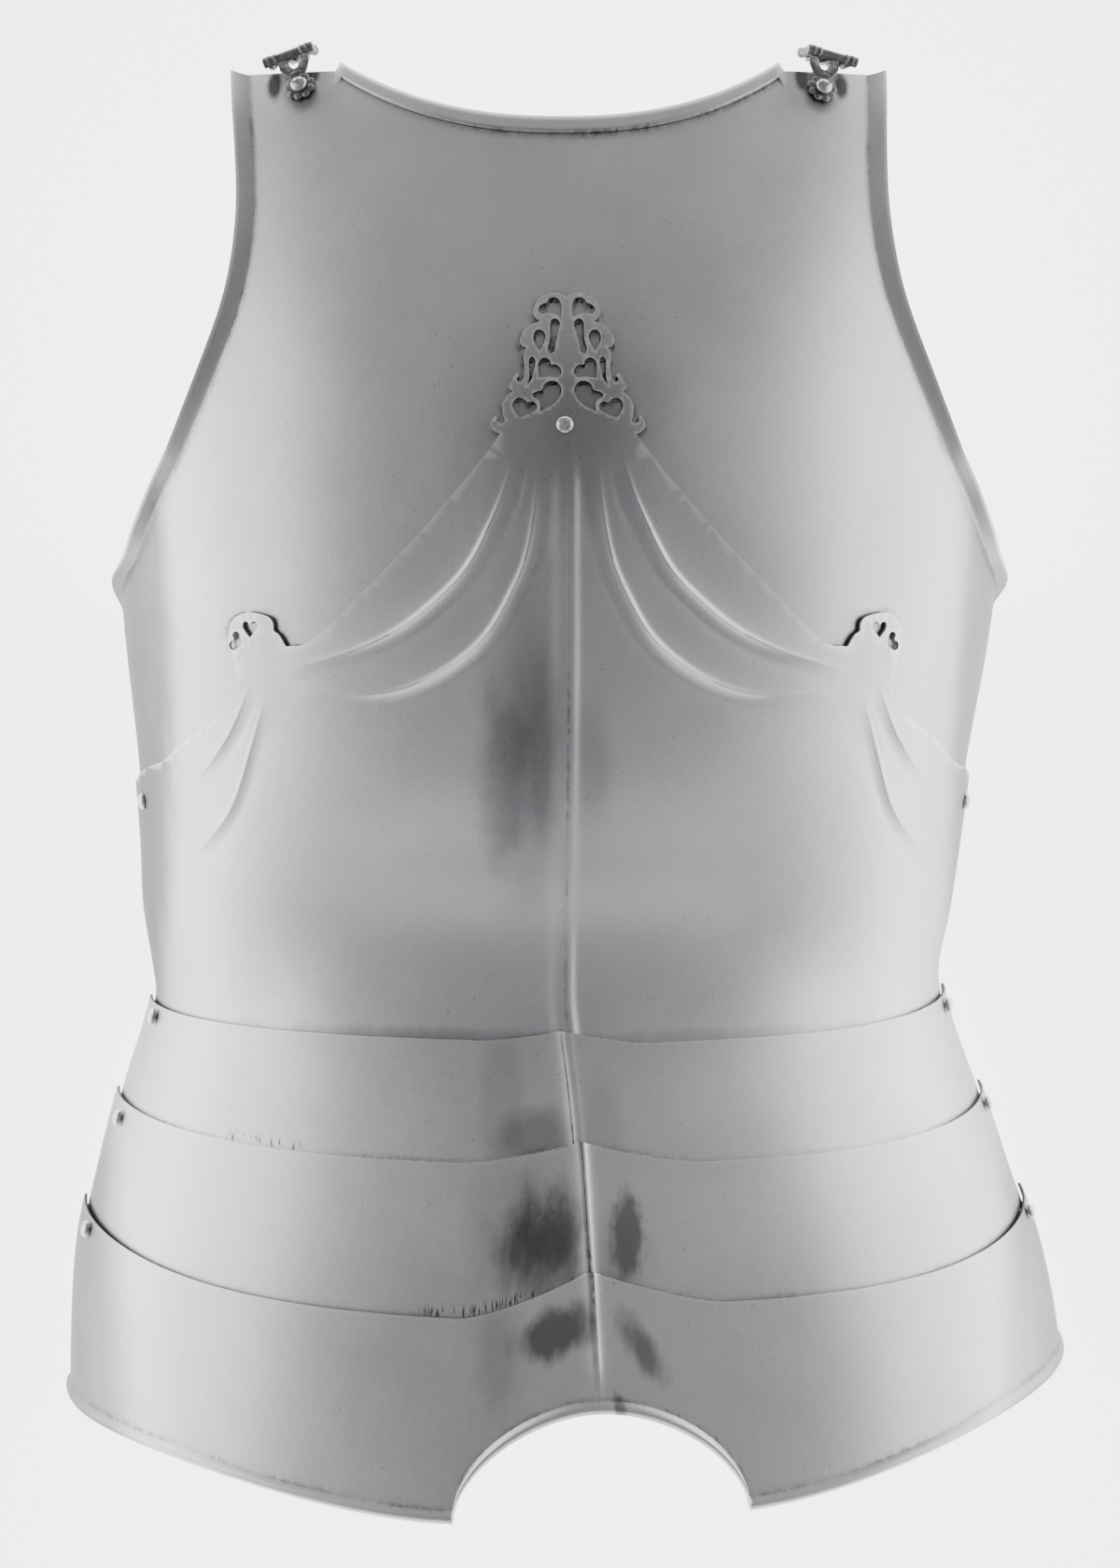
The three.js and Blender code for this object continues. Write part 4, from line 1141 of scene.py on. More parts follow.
        piece = make_mesh("plackart_sheet", np.concatenate([outer, under]), tops + unders + walls, 38)
        on_rim = np.zeros(count)
        on_rim[np.unique(rim)] = 1
        plain = flat[:, 1] > PLACKART_BOTTOM + 3
        # Painted shade along the keel's scribed line.
        scribe = np.exp(-((flat[:, 0] - KEEL.scribe) / 0.4) ** 2) * (1 - smoothstep(flat[:, 1], 330, 415)) * 0.6
        # Painted shade at the flutes' feet and along the keel line on the face, and full painted shade on the underside
        # and rim walls.
        keep_attribute(piece, "grime", np.concatenate([np.maximum(foot * 0.16, scribe), np.full(count, 1.0)]))
        # Painted highlight along the upper rim, above the hidden lower edge.
        keep_attribute(piece, "worn", np.concatenate([on_rim * plain * 0.6, np.zeros(count)]))
        return piece

    def dress(self, piece: bpy.types.Object) -> None:
        """Dresses the overlay."""
        dress(piece, self.finish, Slot.PLATE, self.body, "plackart")


# ---------------------------------------------------------------- fauld
@dataclass(frozen=True)
class LameSize:
    """Top edge of a lame at the peak, front and ends, left and right, and its bottom edge."""

    name: str
    peak: float
    front: tuple[float, float]
    end: tuple[float, float]
    spread: float
    bottom: float


LAMES = (
    LameSize("upper", 191.3, (187, 186), (188.5, 193.5), 16, 127),
    LameSize("middle", 146.5, (138, 138.3), (146.5, 148.8), 23, 68),
    LameSize("lower", 98.2, (79.3, 85.5), (98.5, 102), 25, 0),
)
RIDGE_SHIFTS = (-2.4, 0.0, 0.2)  # how far each lame's peak stands beside the torso's ridge
FILE_MARKS = ((-141.0, -103.0), (-60.0, -9.0), (0.0, 0.0))  # from and to, across, above each lame's lower seam


@dataclass(frozen=True)
class Hem:
    """The lowest lame's rolled hem, with its arch and its tilt."""

    tip: float = 2.4
    end: float = 26.3
    slope: float = 0.048
    arch: float = 44
    half: float = 57
    power: float = 1.75
    bead: float = 5.2
    rise: float = 1.9

    def edge(self, angle: np.ndarray) -> np.ndarray:
        """Height of the hem at each angle."""
        place = torso_point(angle, 20.0)[..., 0]
        share = np.abs(place - TORSO.read("ridge", 20)) / self.half
        aside = smoothstep(np.abs(np.sin(angle)), 0.22, 0.95)
        tip = self.tip + self.slope * place
        arch = (1 - np.clip(share, 0, 1) ** self.power) ** (1 / self.power)
        return np.where(share >= 1, tip + (self.end - self.tip) * aside, tip + (self.arch - self.tip) * arch)


@dataclass
class Lame:
    """One overlapping hip lame, with a low crest at the ridge; the last one has a rolled hem."""

    number: int
    size: LameSize
    finish: bpy.types.Material
    body: str
    rows: int = 46
    hem: Hem = Hem()

    @property
    def last(self) -> bool:
        """Whether this is the lowest lame."""
        return self.number == len(LAMES) - 1

    def top(self, angle: np.ndarray) -> np.ndarray:
        """Height of the top edge at each angle."""
        size = self.size
        side = (angle >= 0).astype(int)
        front, end = np.array(size.front)[side], np.array(size.end)[side]
        ridge = TORSO.read("ridge", size.peak) + RIDGE_SHIFTS[self.number]
        from_ridge = np.abs(torso_point(angle, size.peak)[..., 0] - ridge)
        ogee = (1 - np.minimum(from_ridge / (2 * size.spread), 1)) ** 1.35
        return front + (size.peak - front) * ogee + (end - front) * np.abs(np.sin(angle)) ** 3.5

    def crest_share(self, height: np.ndarray) -> np.ndarray:
        """How much of the crest stands at each height: on the last lame it dies away above the hem."""
        return smoothstep(height, 46, 66) if self.last else np.ones_like(height)

    def seam(self, angle: np.ndarray, height: np.ndarray) -> tuple[np.ndarray, np.ndarray]:
        """Painted shadow and file marks just above the next lame's top edge.

        Args:
            angle: angle of each point.
            height: height of each point.

        Returns:
            The painted shadow and the file marks at each point.
        """
        if self.last:
            return np.zeros_like(height), np.zeros_like(height)
        following = Lame(self.number + 1, LAMES[self.number + 1], self.finish, self.body)
        above = height - following.top(angle)
        low, high = FILE_MARKS[self.number]
        x = torso_point(angle, height)[..., 0]
        within = smoothstep(x, low, low + 8) * (1 - smoothstep(x, high - 4, high))
        # A thin painted shadow line just above the next lame's edge, and the file marks.
        return np.exp(-((above - 0.6) / 0.9) ** 2) * 0.45, np.exp(-((above - 1.8) / 2.0) ** 2) * within

    def angles(self) -> np.ndarray:
        """Angles of the sections, closer near the ridge and at the arch's corners."""
        ridge = np.linspace(0, 1.5, 15)
        front = np.arange(1.8, 13.0, 0.4)
        corner = np.arange(13.0, 18.0, 0.12 if self.last else 0.6)
        side = np.arange(18.0, 88.01, 0.8)
        right = np.concatenate([ridge, front, corner, side])
        return np.radians(np.concatenate([-right[:0:-1], right]))

    def build(self) -> bpy.types.Object:
        """Builds the lame.

        Returns:
            The piece.
        """
        angle = self.angles()[None, :]
        top = self.top(angle)
        bottom = self.hem.edge(angle) if self.last else np.full_like(angle, self.size.bottom)
        lift = LAME_LIFTS[self.number]
        bead_ups = np.linspace(0, self.hem.bead, 12) if self.last else np.array([0.0])
        bead = np.sin(np.pi * np.clip((bead_ups / self.hem.bead) * 0.9 + 0.12, 0, 1)) if self.last else np.zeros(1)
        shares = np.concatenate([np.linspace(0, 1, self.rows)[1:-1], [0.985, 0.993, 1.0]])
        start = bottom + (self.hem.bead if self.last else 0)
        height = np.concatenate([bottom + bead_ups[:, None], start + (top - start) * shares[:, None]])
        swell = np.concatenate([bead, np.zeros(len(shares))])[:, None] * self.hem.rise
        rows, columns = height.shape
        angle = np.broadcast_to(angle, height.shape)
        distance = angle * arc_rate(np.zeros_like(height), height) - RIDGE_SHIFTS[self.number]
        crest = KEEL.roof_at(distance) * self.crest_share(height)
        chamfer = np.zeros(rows)
        chamfer[-2:] = (0.0, 0.12)
        outer = lifted(angle, height, lift + WALL + swell + crest - chamfer[:, None])
        inner = lifted(angle, height, lift + crest)
        piece = make_mesh(f"fauld_sheet_{self.size.name}", np.concatenate([outer.reshape(-1, 3), inner.reshape(-1, 3)]),
                          sheet_faces(rows, columns), 34)
        # Painted shade in the crest's crease.
        crease = np.exp(-(distance / 0.36) ** 2) * 0.97 * self.crest_share(height)
        # Painted shade just above the hem's bead.
        base = np.exp(-((height - bottom - self.hem.bead - 0.4) / 0.9) ** 2) * 0.8 if self.last else 0
        seam, marks = self.seam(angle, height)
        grime = np.clip(crease + base + seam, 0, 1)
        # Painted highlight on a row just under the top edge.
        worn = np.zeros_like(height)
        worn[-3] = 0.12
        # Painted shade on the top edge's wall and along the inner face's top row.
        grime[-1] = 0.85
        under = np.zeros_like(height)
        under[-1] = 1.0
        keep_attribute(piece, "grime", np.concatenate([grime.ravel(), under.ravel()]))
        keep_attribute(piece, "marks", np.concatenate([marks.ravel(), np.zeros(marks.size)]))
        keep_attribute(piece, "worn", np.concatenate([worn.ravel(), np.zeros(worn.size)]))
        return piece

    def dress(self, piece: bpy.types.Object) -> None:
        """Dresses the lame."""
        dress(piece, self.finish, Slot.PLATE, self.body, f"fauld_lame_{self.size.name}")


# ---------------------------------------------------------------- rivets
@dataclass(frozen=True)
class RivetPlace:
    """Where a rivet stands on the torso, and the lift of the face under its head."""

    angle: float
    height: float
    lift: float


@dataclass
class RivetSet:
    """The rivets of one body, made by a tree that sets one head at each point."""

    name: str
    places: list[RivetPlace]
    nodes: list[str]
    finish: bpy.types.Material
    body: str
    radius: float = 3.6
    dome: float = 2.4

    def template(self) -> bpy.types.Mesh:
        """One rivet about its own Z axis: a hammered dome, a shank and a tail, one millimetre a unit."""
        turns = np.linspace(0, 2 * np.pi, 28, endpoint=False)
        rim = 0.25
        profile = [(0.01, self.dome)]
        profile += [(self.radius * math.sin(a), rim + (self.dome - rim) * math.cos(a) ** 0.8)
                    for a in np.linspace(0.2, math.pi / 2 - 0.06, 9)]
        profile += [(self.radius, rim * 0.6), (self.radius - 0.2, 0.0), (1.7, 0.0), (1.7, -4.9), (2.7, -5.0),
                    (2.3, -5.5), (0.01, -5.8)]
        points = [(r * math.cos(t), r * math.sin(t), z) for r, z in profile for t in turns]
        count = len(turns)
        faces = [(i * count + k, (i + 1) * count + k, (i + 1) * count + (k + 1) % count, i * count + (k + 1) % count)
                 for i in range(len(profile) - 1) for k in range(count)]
        faces += [tuple(range(count)), tuple((len(profile) - 1) * count + k for k in reversed(range(count)))]
        mesh = bpy.data.meshes.new("rivet_template")
        mesh.from_pydata([tuple(MM * v for v in p) for p in points], [], faces)
        mesh.shade_smooth()
        mesh.set_sharp_from_angle(angle=math.radians(50))
        return mesh

    def tree(self, template: bpy.types.Object) -> bpy.types.NodeTree:
        """The tree that sets a head at each point, turned to the point's outward direction.

        Args:
            template: one rivet.

        Returns:
            The tree.
        """
        group = bpy.data.node_groups.new(f"{self.name}_setting", "GeometryNodeTree")
        group.interface.new_socket("Points", in_out="INPUT", socket_type="NodeSocketGeometry")
        size = group.interface.new_socket("Head Size", in_out="INPUT", socket_type="NodeSocketFloat")
        size.default_value = 1.0
        group.interface.new_socket("Rivets", in_out="OUTPUT", socket_type="NodeSocketGeometry")
        nodes = group.nodes
        source, sink = nodes.new("NodeGroupInput"), nodes.new("NodeGroupOutput")
        head = nodes.new("GeometryNodeObjectInfo")
        head.inputs["Object"].default_value = template
        outward = nodes.new("GeometryNodeInputNamedAttribute")
        outward.data_type = "FLOAT_VECTOR"
        outward.inputs["Name"].default_value = "outward"
        turn = nodes.new("FunctionNodeAlignRotationToVector")
        turn.axis = "Z"
        spin = nodes.new("FunctionNodeRandomValue")
        spin.data_type = "FLOAT"
        spin.inputs["Seed"].default_value = 7
        spin.inputs[3].default_value = 6.28
        rotate = nodes.new("FunctionNodeRotateRotation")
        rotate.rotation_space = "LOCAL"
        euler = nodes.new("FunctionNodeEulerToRotation")
        combine = nodes.new("ShaderNodeCombineXYZ")
        place = nodes.new("GeometryNodeInstanceOnPoints")
        real = nodes.new("GeometryNodeRealizeInstances")
        coat = nodes.new("GeometryNodeSetMaterial")
        coat.inputs["Material"].default_value = self.finish
        for start, end in (
            (outward.outputs["Attribute"], turn.inputs["Vector"]),
            (spin.outputs[1], combine.inputs["Z"]),
            (combine.outputs[0], euler.inputs[0]),
            (turn.outputs[0], rotate.inputs[0]),
            (euler.outputs[0], rotate.inputs[1]),
            (source.outputs["Points"], place.inputs["Points"]),
            (head.outputs["Geometry"], place.inputs["Instance"]),
            (rotate.outputs[0], place.inputs["Rotation"]),
            (source.outputs["Head Size"], place.inputs["Scale"]),
            (place.outputs[0], real.inputs[0]),
            (real.outputs[0], coat.inputs["Geometry"]),
            (coat.outputs[0], sink.inputs["Rivets"]),
        ):
            group.links.new(start, end)
        return group

    def build(self) -> bpy.types.Object:
        """Builds the rivets of this body as one mesh.

        Returns:
            The piece.
        """
        angles = np.array([p.angle for p in self.places])
        heights = np.array([p.height for p in self.places])
        lifts = np.array([p.lift for p in self.places])
        seats = (lifted(angles, heights, lifts) - MIDDLE) * MM
        mesh = bpy.data.meshes.new(f"{self.name}_points")
        mesh.from_pydata(seats.tolist(), [], [])
        outward = mesh.attributes.new("outward", "FLOAT_VECTOR", "POINT")
        outward.data.foreach_set("vector", torso_normal(angles, heights).astype(np.float32).ravel())
        carrier = link_piece(f"{self.name}_carrier", mesh)
        template = link_piece(f"{self.name}_template", self.template())
        modifier = carrier.modifiers.new("setting", "NODES")
        modifier.node_group = self.tree(template)
        size_input = modifier.node_group.interface.items_tree["Head Size"].identifier
        modifier[size_input] = 1.0
        made = finished_mesh(carrier)
        made.name = self.name
        piece = link_piece(self.name, made)
        for thing in (carrier, template):
            bpy.data.objects.remove(thing, do_unlink=True)
        return piece

    def dress(self, piece: bpy.types.Object) -> None:
        """Dresses the rivets."""
        dress(piece, self.finish, Slot.RIVET, self.body, *self.nodes)


# ---------------------------------------------------------------- shoulder buckles
@dataclass(frozen=True)
class BuckleSeat:
    """Where a buckle's rivet stands, and how far the buckle is turned about it."""

    side: str
    x: float
    height: float
    turn: float


SEATS = (BuckleSeat("left", -109, 581.2, 19), BuckleSeat("right", 110, 580.2, -14))
REACH = 18.3
SHEET = 1.6
KNUCKLE = 3.3


class Casting:
    """A small casting: plain forms run together and smoothed, in millimetres about its own place."""

    def __init__(self, grid: float = 0.34) -> None:
        """Starts an empty casting.

        Args:
            grid: size of the grid that the forms are run together on.
        """
        self.forms = bmesh.new()
        self.grid = grid

    def ball(self, middle: tuple[float, float, float], half: tuple[float, float, float]) -> None:
        """Adds an egg-shaped form with its half sizes."""
        place = Matrix.Translation(middle) @ Matrix.Diagonal((*half, 1))
        bmesh.ops.create_uvsphere(self.forms, u_segments=24, v_segments=16, radius=1, matrix=place)

    def block(self, low: tuple[float, float, float], high: tuple[float, float, float]) -> None:
        """Adds a block between two corners."""
        middle = [(a + b) / 2 for a, b in zip(low, high)]
        size = [b - a for a, b in zip(low, high)]
        bmesh.ops.create_cube(self.forms, size=1, matrix=Matrix.Translation(middle) @ Matrix.Diagonal((*size, 1)))

    def rod(self, start: tuple[float, float, float], end: tuple[float, float, float], first: float,
            last: float, flat: float = 1.0) -> None:
        """Adds a tapering rod.

        Args:
            start: middle of one end.
            end: middle of the other end.
            first: radius at the start.
            last: radius at the end.
            flat: how much of its thickness it keeps along Z.
        """
        a, b = Vector(start), Vector(end)
        turn = (b - a).to_track_quat("Z", "Y").to_matrix().to_4x4()
        place = Matrix.Translation((a + b) / 2) @ Matrix.Diagonal((1, 1, flat, 1)) @ turn
        bmesh.ops.create_cone(self.forms, cap_ends=True, segments=24, radius1=first, radius2=last,
                              depth=(b - a).length, matrix=place)

    def pour(self, name: str, place: Matrix, smooth: int = 4) -> bpy.types.Object:
        """Runs the forms together and sets the casting in its place.

        Args:
            name: the piece's name.
            place: turns the casting's millimetres to the row frame.
            smooth: rounds of smoothing.

        Returns:
            The piece.
        """
        rough = bpy.data.meshes.new(f"{name}_forms")
        self.forms.to_mesh(rough)
        self.forms.free()
        carrier = link_piece(f"{name}_forms", rough)
        remesh = carrier.modifiers.new("run", "REMESH")
        remesh.mode = "VOXEL"
        remesh.voxel_size = self.grid
        rounds = carrier.modifiers.new("smooth", "SMOOTH")
        rounds.factor = 0.5
        rounds.iterations = smooth
        mesh = finished_mesh(carrier)
        bpy.data.objects.remove(carrier, do_unlink=True)
        mesh.transform(place)
        mesh.shade_smooth()
        return link_piece(name, mesh)


@dataclass
class ShoulderBuckle:
    """A cast buckle: a petalled plate with forked arms, a knobbed frame that stands up, and its tongue."""

    seat: BuckleSeat
    finish: bpy.types.Material
    body: str

    def place(self) -> tuple[Matrix, float]:
        """The bar's place.

        Returns:
            The matrix from the bar's millimetres to the row frame, and the angle that the frame stands at.
        """
        seat = self.seat
        angle = angle_at(seat.x, seat.height, CHEST_LIFT + WALL)
        normal = Vector(torso_normal(angle, seat.height).tolist())
        turn = math.radians(seat.turn)
        up = Vector((-math.sin(turn), math.cos(turn), 0))
        up = (up - normal * up.dot(normal)).normalized()
        across = up.cross(normal)
        rivet = Vector(torso_point(angle, seat.height).tolist())
        bar = rivet + up * REACH + normal * (CHEST_LIFT + WALL + FIT + SHEET - KNUCKLE)
        basis = Matrix((across, up, normal)).transposed().to_4x4()
        matrix = Matrix.Scale(MM, 4) @ Matrix.Translation(bar - Vector(MIDDLE.tolist())) @ basis
        return matrix, math.atan2(normal.z, up.z)

    def plate(self, place: Matrix) -> bpy.types.Object:
        """Petalled rosette, waisted neck and two arms with ringed knuckles."""
        cast = Casting()
        for i in range(9):
            turn = 2 * math.pi * i / 9 + math.pi / 2
            cast.ball((4.9 * math.cos(turn), -REACH + 4.9 * math.sin(turn), 2.2), (1.9, 1.9, 1.0))
        cast.rod((0, -REACH, 1.7), (0, -REACH, 3.0), 5.2, 4.9)
        cast.block((-3.1, -14.6, 1.75), (3.1, -9.0, 3.1))
        cast.ball((0, -11.4, 2.5), (4.6, 1.7, 1.05))
        cast.block((-4.2, -9.8, 1.75), (4.2, -8.3, 2.9))
        for k in range(3):
            cast.ball((1.9, -13.6 + 1.9 * k, 3.1), (0.75, 0.75, 0.45))
        for side in (-1, 1):
            cast.rod((side * 2.6, -10.4, 2.45), (side * 4.7, -5.8, 2.45), 2.4, 2.3, 0.42)
            cast.block((side * 4.65 - 1.95, -7.0, 1.75), (side * 4.65 + 1.95, -0.5, 3.25))
            cast.rod((side * 2.75, 0, 0), (side * 6.6, 0, 0), 3.0, 3.0)
            for x in (3.1, 6.3):
                cast.rod((side * (x - 0.35), 0, 0), (side * (x + 0.35), 0, 0), 3.4, 3.4)
        return cast.pour(f"buckle_rosette_{self.seat.side}", place, 3)

    def frame(self, place: Matrix) -> bpy.types.Object:
        """Four-sided frame with a flat outer bar, pinched sides and moulded knobs."""
        cast = Casting()
        cast.rod((-10.9, 0, 0), (10.9, 0, 0), 1.75, 1.75)
        for side in (-1, 1):
            cast.block((side * 9.4 - 1.5, -0.6, -1.3), (side * 9.4 + 1.5, 15.6, 1.5))
            cast.ball((side * 9.4, 1.0, 0.5), (2.1, 2.1, 2.3))
            cast.ball((side * 9.4, 5.4, 0.4), (1.9, 1.0, 1.9))
            cast.ball((side * 9.4, 9.6, 0.4), (1.9, 1.0, 1.9))
            cast.rod((side * 6.3, 14.2, 0.3), (side * 11.2, 14.2, 0.3), 2.15, 2.3)
            for x in (5.9, 8.6):
                cast.rod((side * (x - 0.35), 14.2, 0.3), (side * (x + 0.35), 14.2, 0.3), 2.5, 2.5)
        cast.rod((-7, 14.2, 0.2), (7, 14.2, 0.2), 1.85, 1.85)
        return cast.pour(f"buckle_frame_cast_{self.seat.side}", place, 2)

    def tongue(self, place: Matrix) -> bpy.types.Object:
        """A ringed loop about the bar, and a prong that tapers to the outer bar."""
        cast = Casting(0.26)
        cast.rod((-1.8, 0, 0), (1.8, 0, 0), 2.85, 2.85)
        for x in (-1.45, 1.45):
            cast.rod((x - 0.35, 0, 0), (x + 0.35, 0, 0), 3.2, 3.2)
        cast.rod((0, 1.0, 2.75), (0, 15.3, 2.75), 1.35, 0.7, 0.5)
        return cast.pour(f"buckle_prong_{self.seat.side}", place, 2)

    def build(self) -> tuple[bpy.types.Object, bpy.types.Object, bpy.types.Object]:
        """Builds the three castings.

        Returns:
            The plate, the frame and the tongue.
        """
        place, stand = self.place()
        turned = place @ Matrix.Rotation(stand, 4, "X")
        return self.plate(place), self.frame(turned), self.tongue(turned)

    def dress(self, plate: bpy.types.Object, frame: bpy.types.Object, tongue: bpy.types.Object) -> None:
        """Dresses the castings, each on its own body."""
        side = self.seat.side
        dress(plate, self.finish, Slot.CAST, self.body, f"buckle_plate_{side}")
        dress(frame, self.finish, Slot.CAST, f"strap_frame_{side}", f"buckle_frame_{side}")
        dress(tongue, self.finish, Slot.CAST, f"strap_tongue_{side}", f"buckle_tongue_{side}")


# ---------------------------------------------------------------- studio
@dataclass
class Studio:
    """Pale floor, soft lights and the camera, straight above the piece."""

    height: float = 1.6
    x: float = -0.0705
    y: float = 0.1012
    lens: float = 82.29
    shift_across: float = 0.09940476  # shares of the frame's longer side
    shift_up: float = -0.17261905

    def light(self, name: str, place: tuple[float, float, float], size: tuple[float, float], power: float,
              target: tuple[float, float, float] = (0, 0, 0.08)) -> None:
        """Adds a soft box.

        Args:
            name: its name.
            place: where it stands, in metres.
            size: its width and height.
            power: its power in watts.
            target: what it faces.
        """
        lamp = bpy.data.lights.new(name, "AREA")
        lamp.shape = "RECTANGLE"
        lamp.size, lamp.size_y = size
        lamp.energy = power
        piece = link_piece(name, lamp)
        piece.location = place
        piece.rotation_euler = (Vector(target) - Vector(place)).to_track_quat("-Z", "Y").to_euler()

    def floor(self) -> None:
        """Adds the floor."""
        mesh = bpy.data.meshes.new("studio_floor")
        reach, level = 4.0, -0.0006
        corners = [(x * reach, y * reach, level) for x, y in ((-1, -1), (1, -1), (1, 1), (-1, 1))]
        mesh.from_pydata(corners, [], [(0, 1, 2, 3)])
        floor = link_piece("studio_floor", mesh)
        paper = bpy.data.materials.new("floor_paper")
        paper.use_nodes = True
        shader = paper.node_tree.nodes["Principled BSDF"]
        shader.inputs["Base Color"].default_value = (0.93, 0.93, 0.93, 1)
        shader.inputs["Roughness"].default_value = 0.9
        shader.inputs["Emission Color"].default_value = (1, 1, 1, 1)
        shader.inputs["Emission Strength"].default_value = 4.0
        mesh.materials.append(paper)

    def build(self) -> None:
        """Builds the studio."""
        self.floor()
        self.light("key_left", (-1.6, 0.15, 0.55), (2.2, 1.2), 20)
        self.light("key_right", (1.6, 0.15, 0.55), (2.2, 1.2), 22)
        self.light("low_band", (0.0, -1.6, 0.75), (2.4, 0.9), 11)
        world = bpy.data.worlds.new("studio_air")
        world.use_nodes = True
        world.node_tree.nodes["Background"].inputs["Color"].default_value = (0.5, 0.495, 0.505, 1)
        world.node_tree.nodes["Background"].inputs["Strength"].default_value = 0.68
        bpy.context.scene.world = world
        camera = bpy.data.cameras.new("camera")
        camera.lens = self.lens
        camera.sensor_width = 36
        camera.shift_x = self.shift_across
        camera.shift_y = self.shift_up
        camera.clip_start = 0.05
        piece = link_piece("camera", camera)
        piece.location = (self.x, self.y, self.height)
        bpy.context.scene.camera = piece


# ---------------------------------------------------------------- assembly
RIVET_ANGLE = math.radians(74)
LAME_RIVETS = (185.0, 141.2, 94.0)  # heights
BUCKLE_SHADES = (
    DarkPatch(-120.2, 583.7, 4.2, 9, 0.9), DarkPatch(-104.2, 588.5, 4.2, 7, 0.85), DarkPatch(101.8, 586.0, 4.2, 9, 0.85),
    DarkPatch(119.0, 583.0, 4.2, 8, 0.9), DarkPatch(-109, 578, 9.5, 8, 0.5), DarkPatch(110, 577, 9.5, 8, 0.5),
)
# Dark patches on the chest plate and the overlay, most of them painted shade and painted dark reflections.
CHEST_DARK_PATCHES = BUCKLE_SHADES + (
    # Painted dark reflection down the middle of the overlay, mostly left of the keel.
    DarkPatch(-16, 312, 25, 100, 0.5, 0, 0.12, 1.0), DarkPatch(-25, 296, 15, 48, 0.3, 0, 0.3, 0.6),
    DarkPatch(-9, 306, 9, 60, 0.3, 0, 0.2, 0.9), DarkPatch(10, 303, 12, 44, 0.26, 0, 0.2, 0.9),
    # Painted shade over the middle of the chest and across its top.
    DarkPatch(0, 438, 66, 80, 0.5, 0, 0.08, 1.0), DarkPatch(0, 606, 200, 130, 0.14, 0, 0.05, 1.0),
    # Painted shade and dark reflection down both flanks.
    DarkPatch(-194, 320, 36, 230, 0.6, 0, 0.06, 0.3), DarkPatch(196, 320, 34, 230, 0.45, 0, 0.06, 0.35),
    # A darker band just above the upper lame's seam.
    DarkPatch(-58, 189, 84, 5, 0.34, 0, 0.4, 0.9), DarkPatch(70, 189, 80, 4, 0.2, 0, 0.4, 0.9),
    # A darker patch on the upper left of the chest.
    DarkPatch(-150, 500, 60, 150, 0.2, -0.2, 0.1, 1.0),
)
# Darker patches near each lame's ridge.
LAME_DARK_PATCHES = (
    (DarkPatch(-13, 150, 20, 17, 0.42, 0, 0.2, 0.6), DarkPatch(-26, 165, 12, 40, 0.16), DarkPatch(14, 152, 13, 26, 0.14)),
    (DarkPatch(-17, 110, 30, 42, 0.42, 0, 0.25, 0.9), DarkPatch(-10, 112, 20, 26, 0.74, 0.2, 0.35, 0.7),
     DarkPatch(24, 112, 9, 24, 0.62, -0.1, 0.6, 0.6), DarkPatch(20, 104, 20, 34, 0.24, 0, 0.3, 0.9)),
    (DarkPatch(-5, 76, 18, 15, 0.74, 0.5, 0.35, 0.6), DarkPatch(29, 71, 9, 19, 0.62, -0.5, 0.4, 0.7),
     DarkPatch(20, 48, 3, 8, 0.6, -0.2, 0.6, 0.7), DarkPatch(-28, 66, 16, 34, 0.26, 0, 0.25, 0.8)),
)
# Painted shade down both flanks of each lame.
FLANK_PAINTED_SHADE = (DarkPatch(-218, 95, 40, 190, 0.5, -0.15, 0.06, 0.5), DarkPatch(218, 95, 38, 190, 0.36, 0.15, 0.06, 0.5))


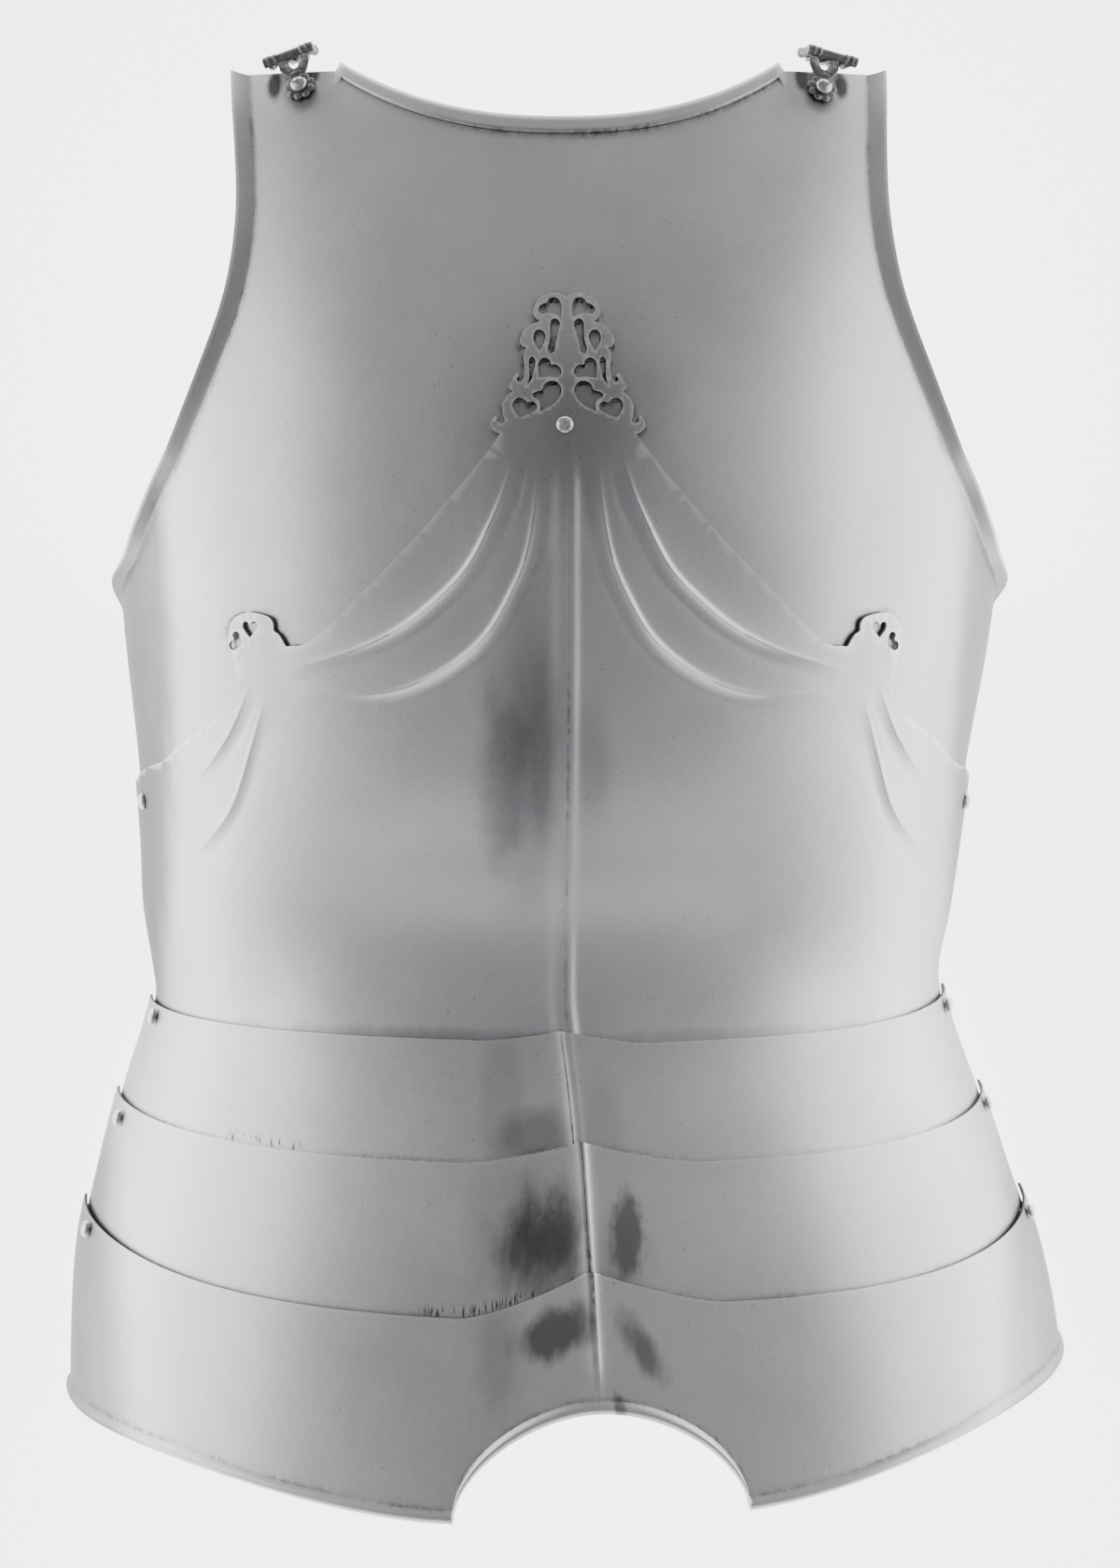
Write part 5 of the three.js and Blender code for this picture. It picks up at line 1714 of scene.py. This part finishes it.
def rivet_sets(finish: bpy.types.Material) -> list[RivetSet]:
    """The rivets of each body.

    Args:
        finish: the rivets' material.

    Returns:
        One set for each body that carries rivets.
    """
    top = PLACKART_LIFT + WALL
    fixed = [RivetPlace(math.radians(-0.35), 437.5, top + 0.1)]
    fixed += [RivetPlace(side * RIVET_ANGLE, 278.5, top + 0.1) for side in (-1, 1)]
    names = ["rivet_plackart_centre", "rivet_plackart_left", "rivet_plackart_right"]
    pairs = []
    for n, height in enumerate(LAME_RIVETS):
        tilt = LAME_SLOPE * float(TORSO.read("half", height))
        pairs.append([RivetPlace(side * RIVET_ANGLE, height + side * tilt, LAME_LIFTS[n] + WALL + 0.9)
                      for side in (-1, 1)])
    labels = [[f"rivet_lame_{size.name}_left", f"rivet_lame_{size.name}_right"] for size in LAMES]
    buckle = [RivetPlace(float(angle_at(s.x, s.height, CHEST_LIFT + WALL)), s.height, WALL + FIT + SHEET + 0.3)
              for s in SEATS]
    return [
        RivetSet("breast_rivets", fixed + pairs[0] + buckle,
                 names + labels[0] + ["rivet_buckle_left", "rivet_buckle_right"], finish, "breast"),
        RivetSet("lame_rivets_upper", pairs[1], labels[1], finish, "lame_upper"),
        RivetSet("lame_rivets_middle", pairs[2], labels[2], finish, "lame_middle"),
    ]


def main() -> None:
    """Loads the frame, builds and dresses each sub-assembly, and sets up the studio."""
    logging.basicConfig(level=logging.INFO, format="%(name)s: %(message)s")
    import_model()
    grain, patch_tree = grain_group(), dark_patch_group()
    plate_steel = SteelFinish("plate_sheet_steel", dark_patches=CHEST_DARK_PATCHES).build(grain, patch_tree)
    cast_steel = CastFinish().build(grain)
    rivet_steel = RivetFinish().build()
    Studio().build()
    chest = ChestPlate(plate_steel, "breast")
    chest.dress(chest.build())
    overlay = Plackart(plate_steel, "breast")
    overlay.dress(overlay.build())
    for number, size in enumerate(LAMES):
        steel = SteelFinish(f"lame_{size.name}_steel", dark_patches=LAME_DARK_PATCHES[number] + FLANK_PAINTED_SHADE).build(grain, patch_tree)
        lame = Lame(number, size, steel, f"lame_{size.name}")
        lame.dress(lame.build())
    for rivets in rivet_sets(rivet_steel):
        rivets.dress(rivets.build())
    for seat in SEATS:
        buckle = ShoulderBuckle(seat, cast_steel, "breast")
        buckle.dress(*buckle.build())


if __name__ == "__main__":
    main()
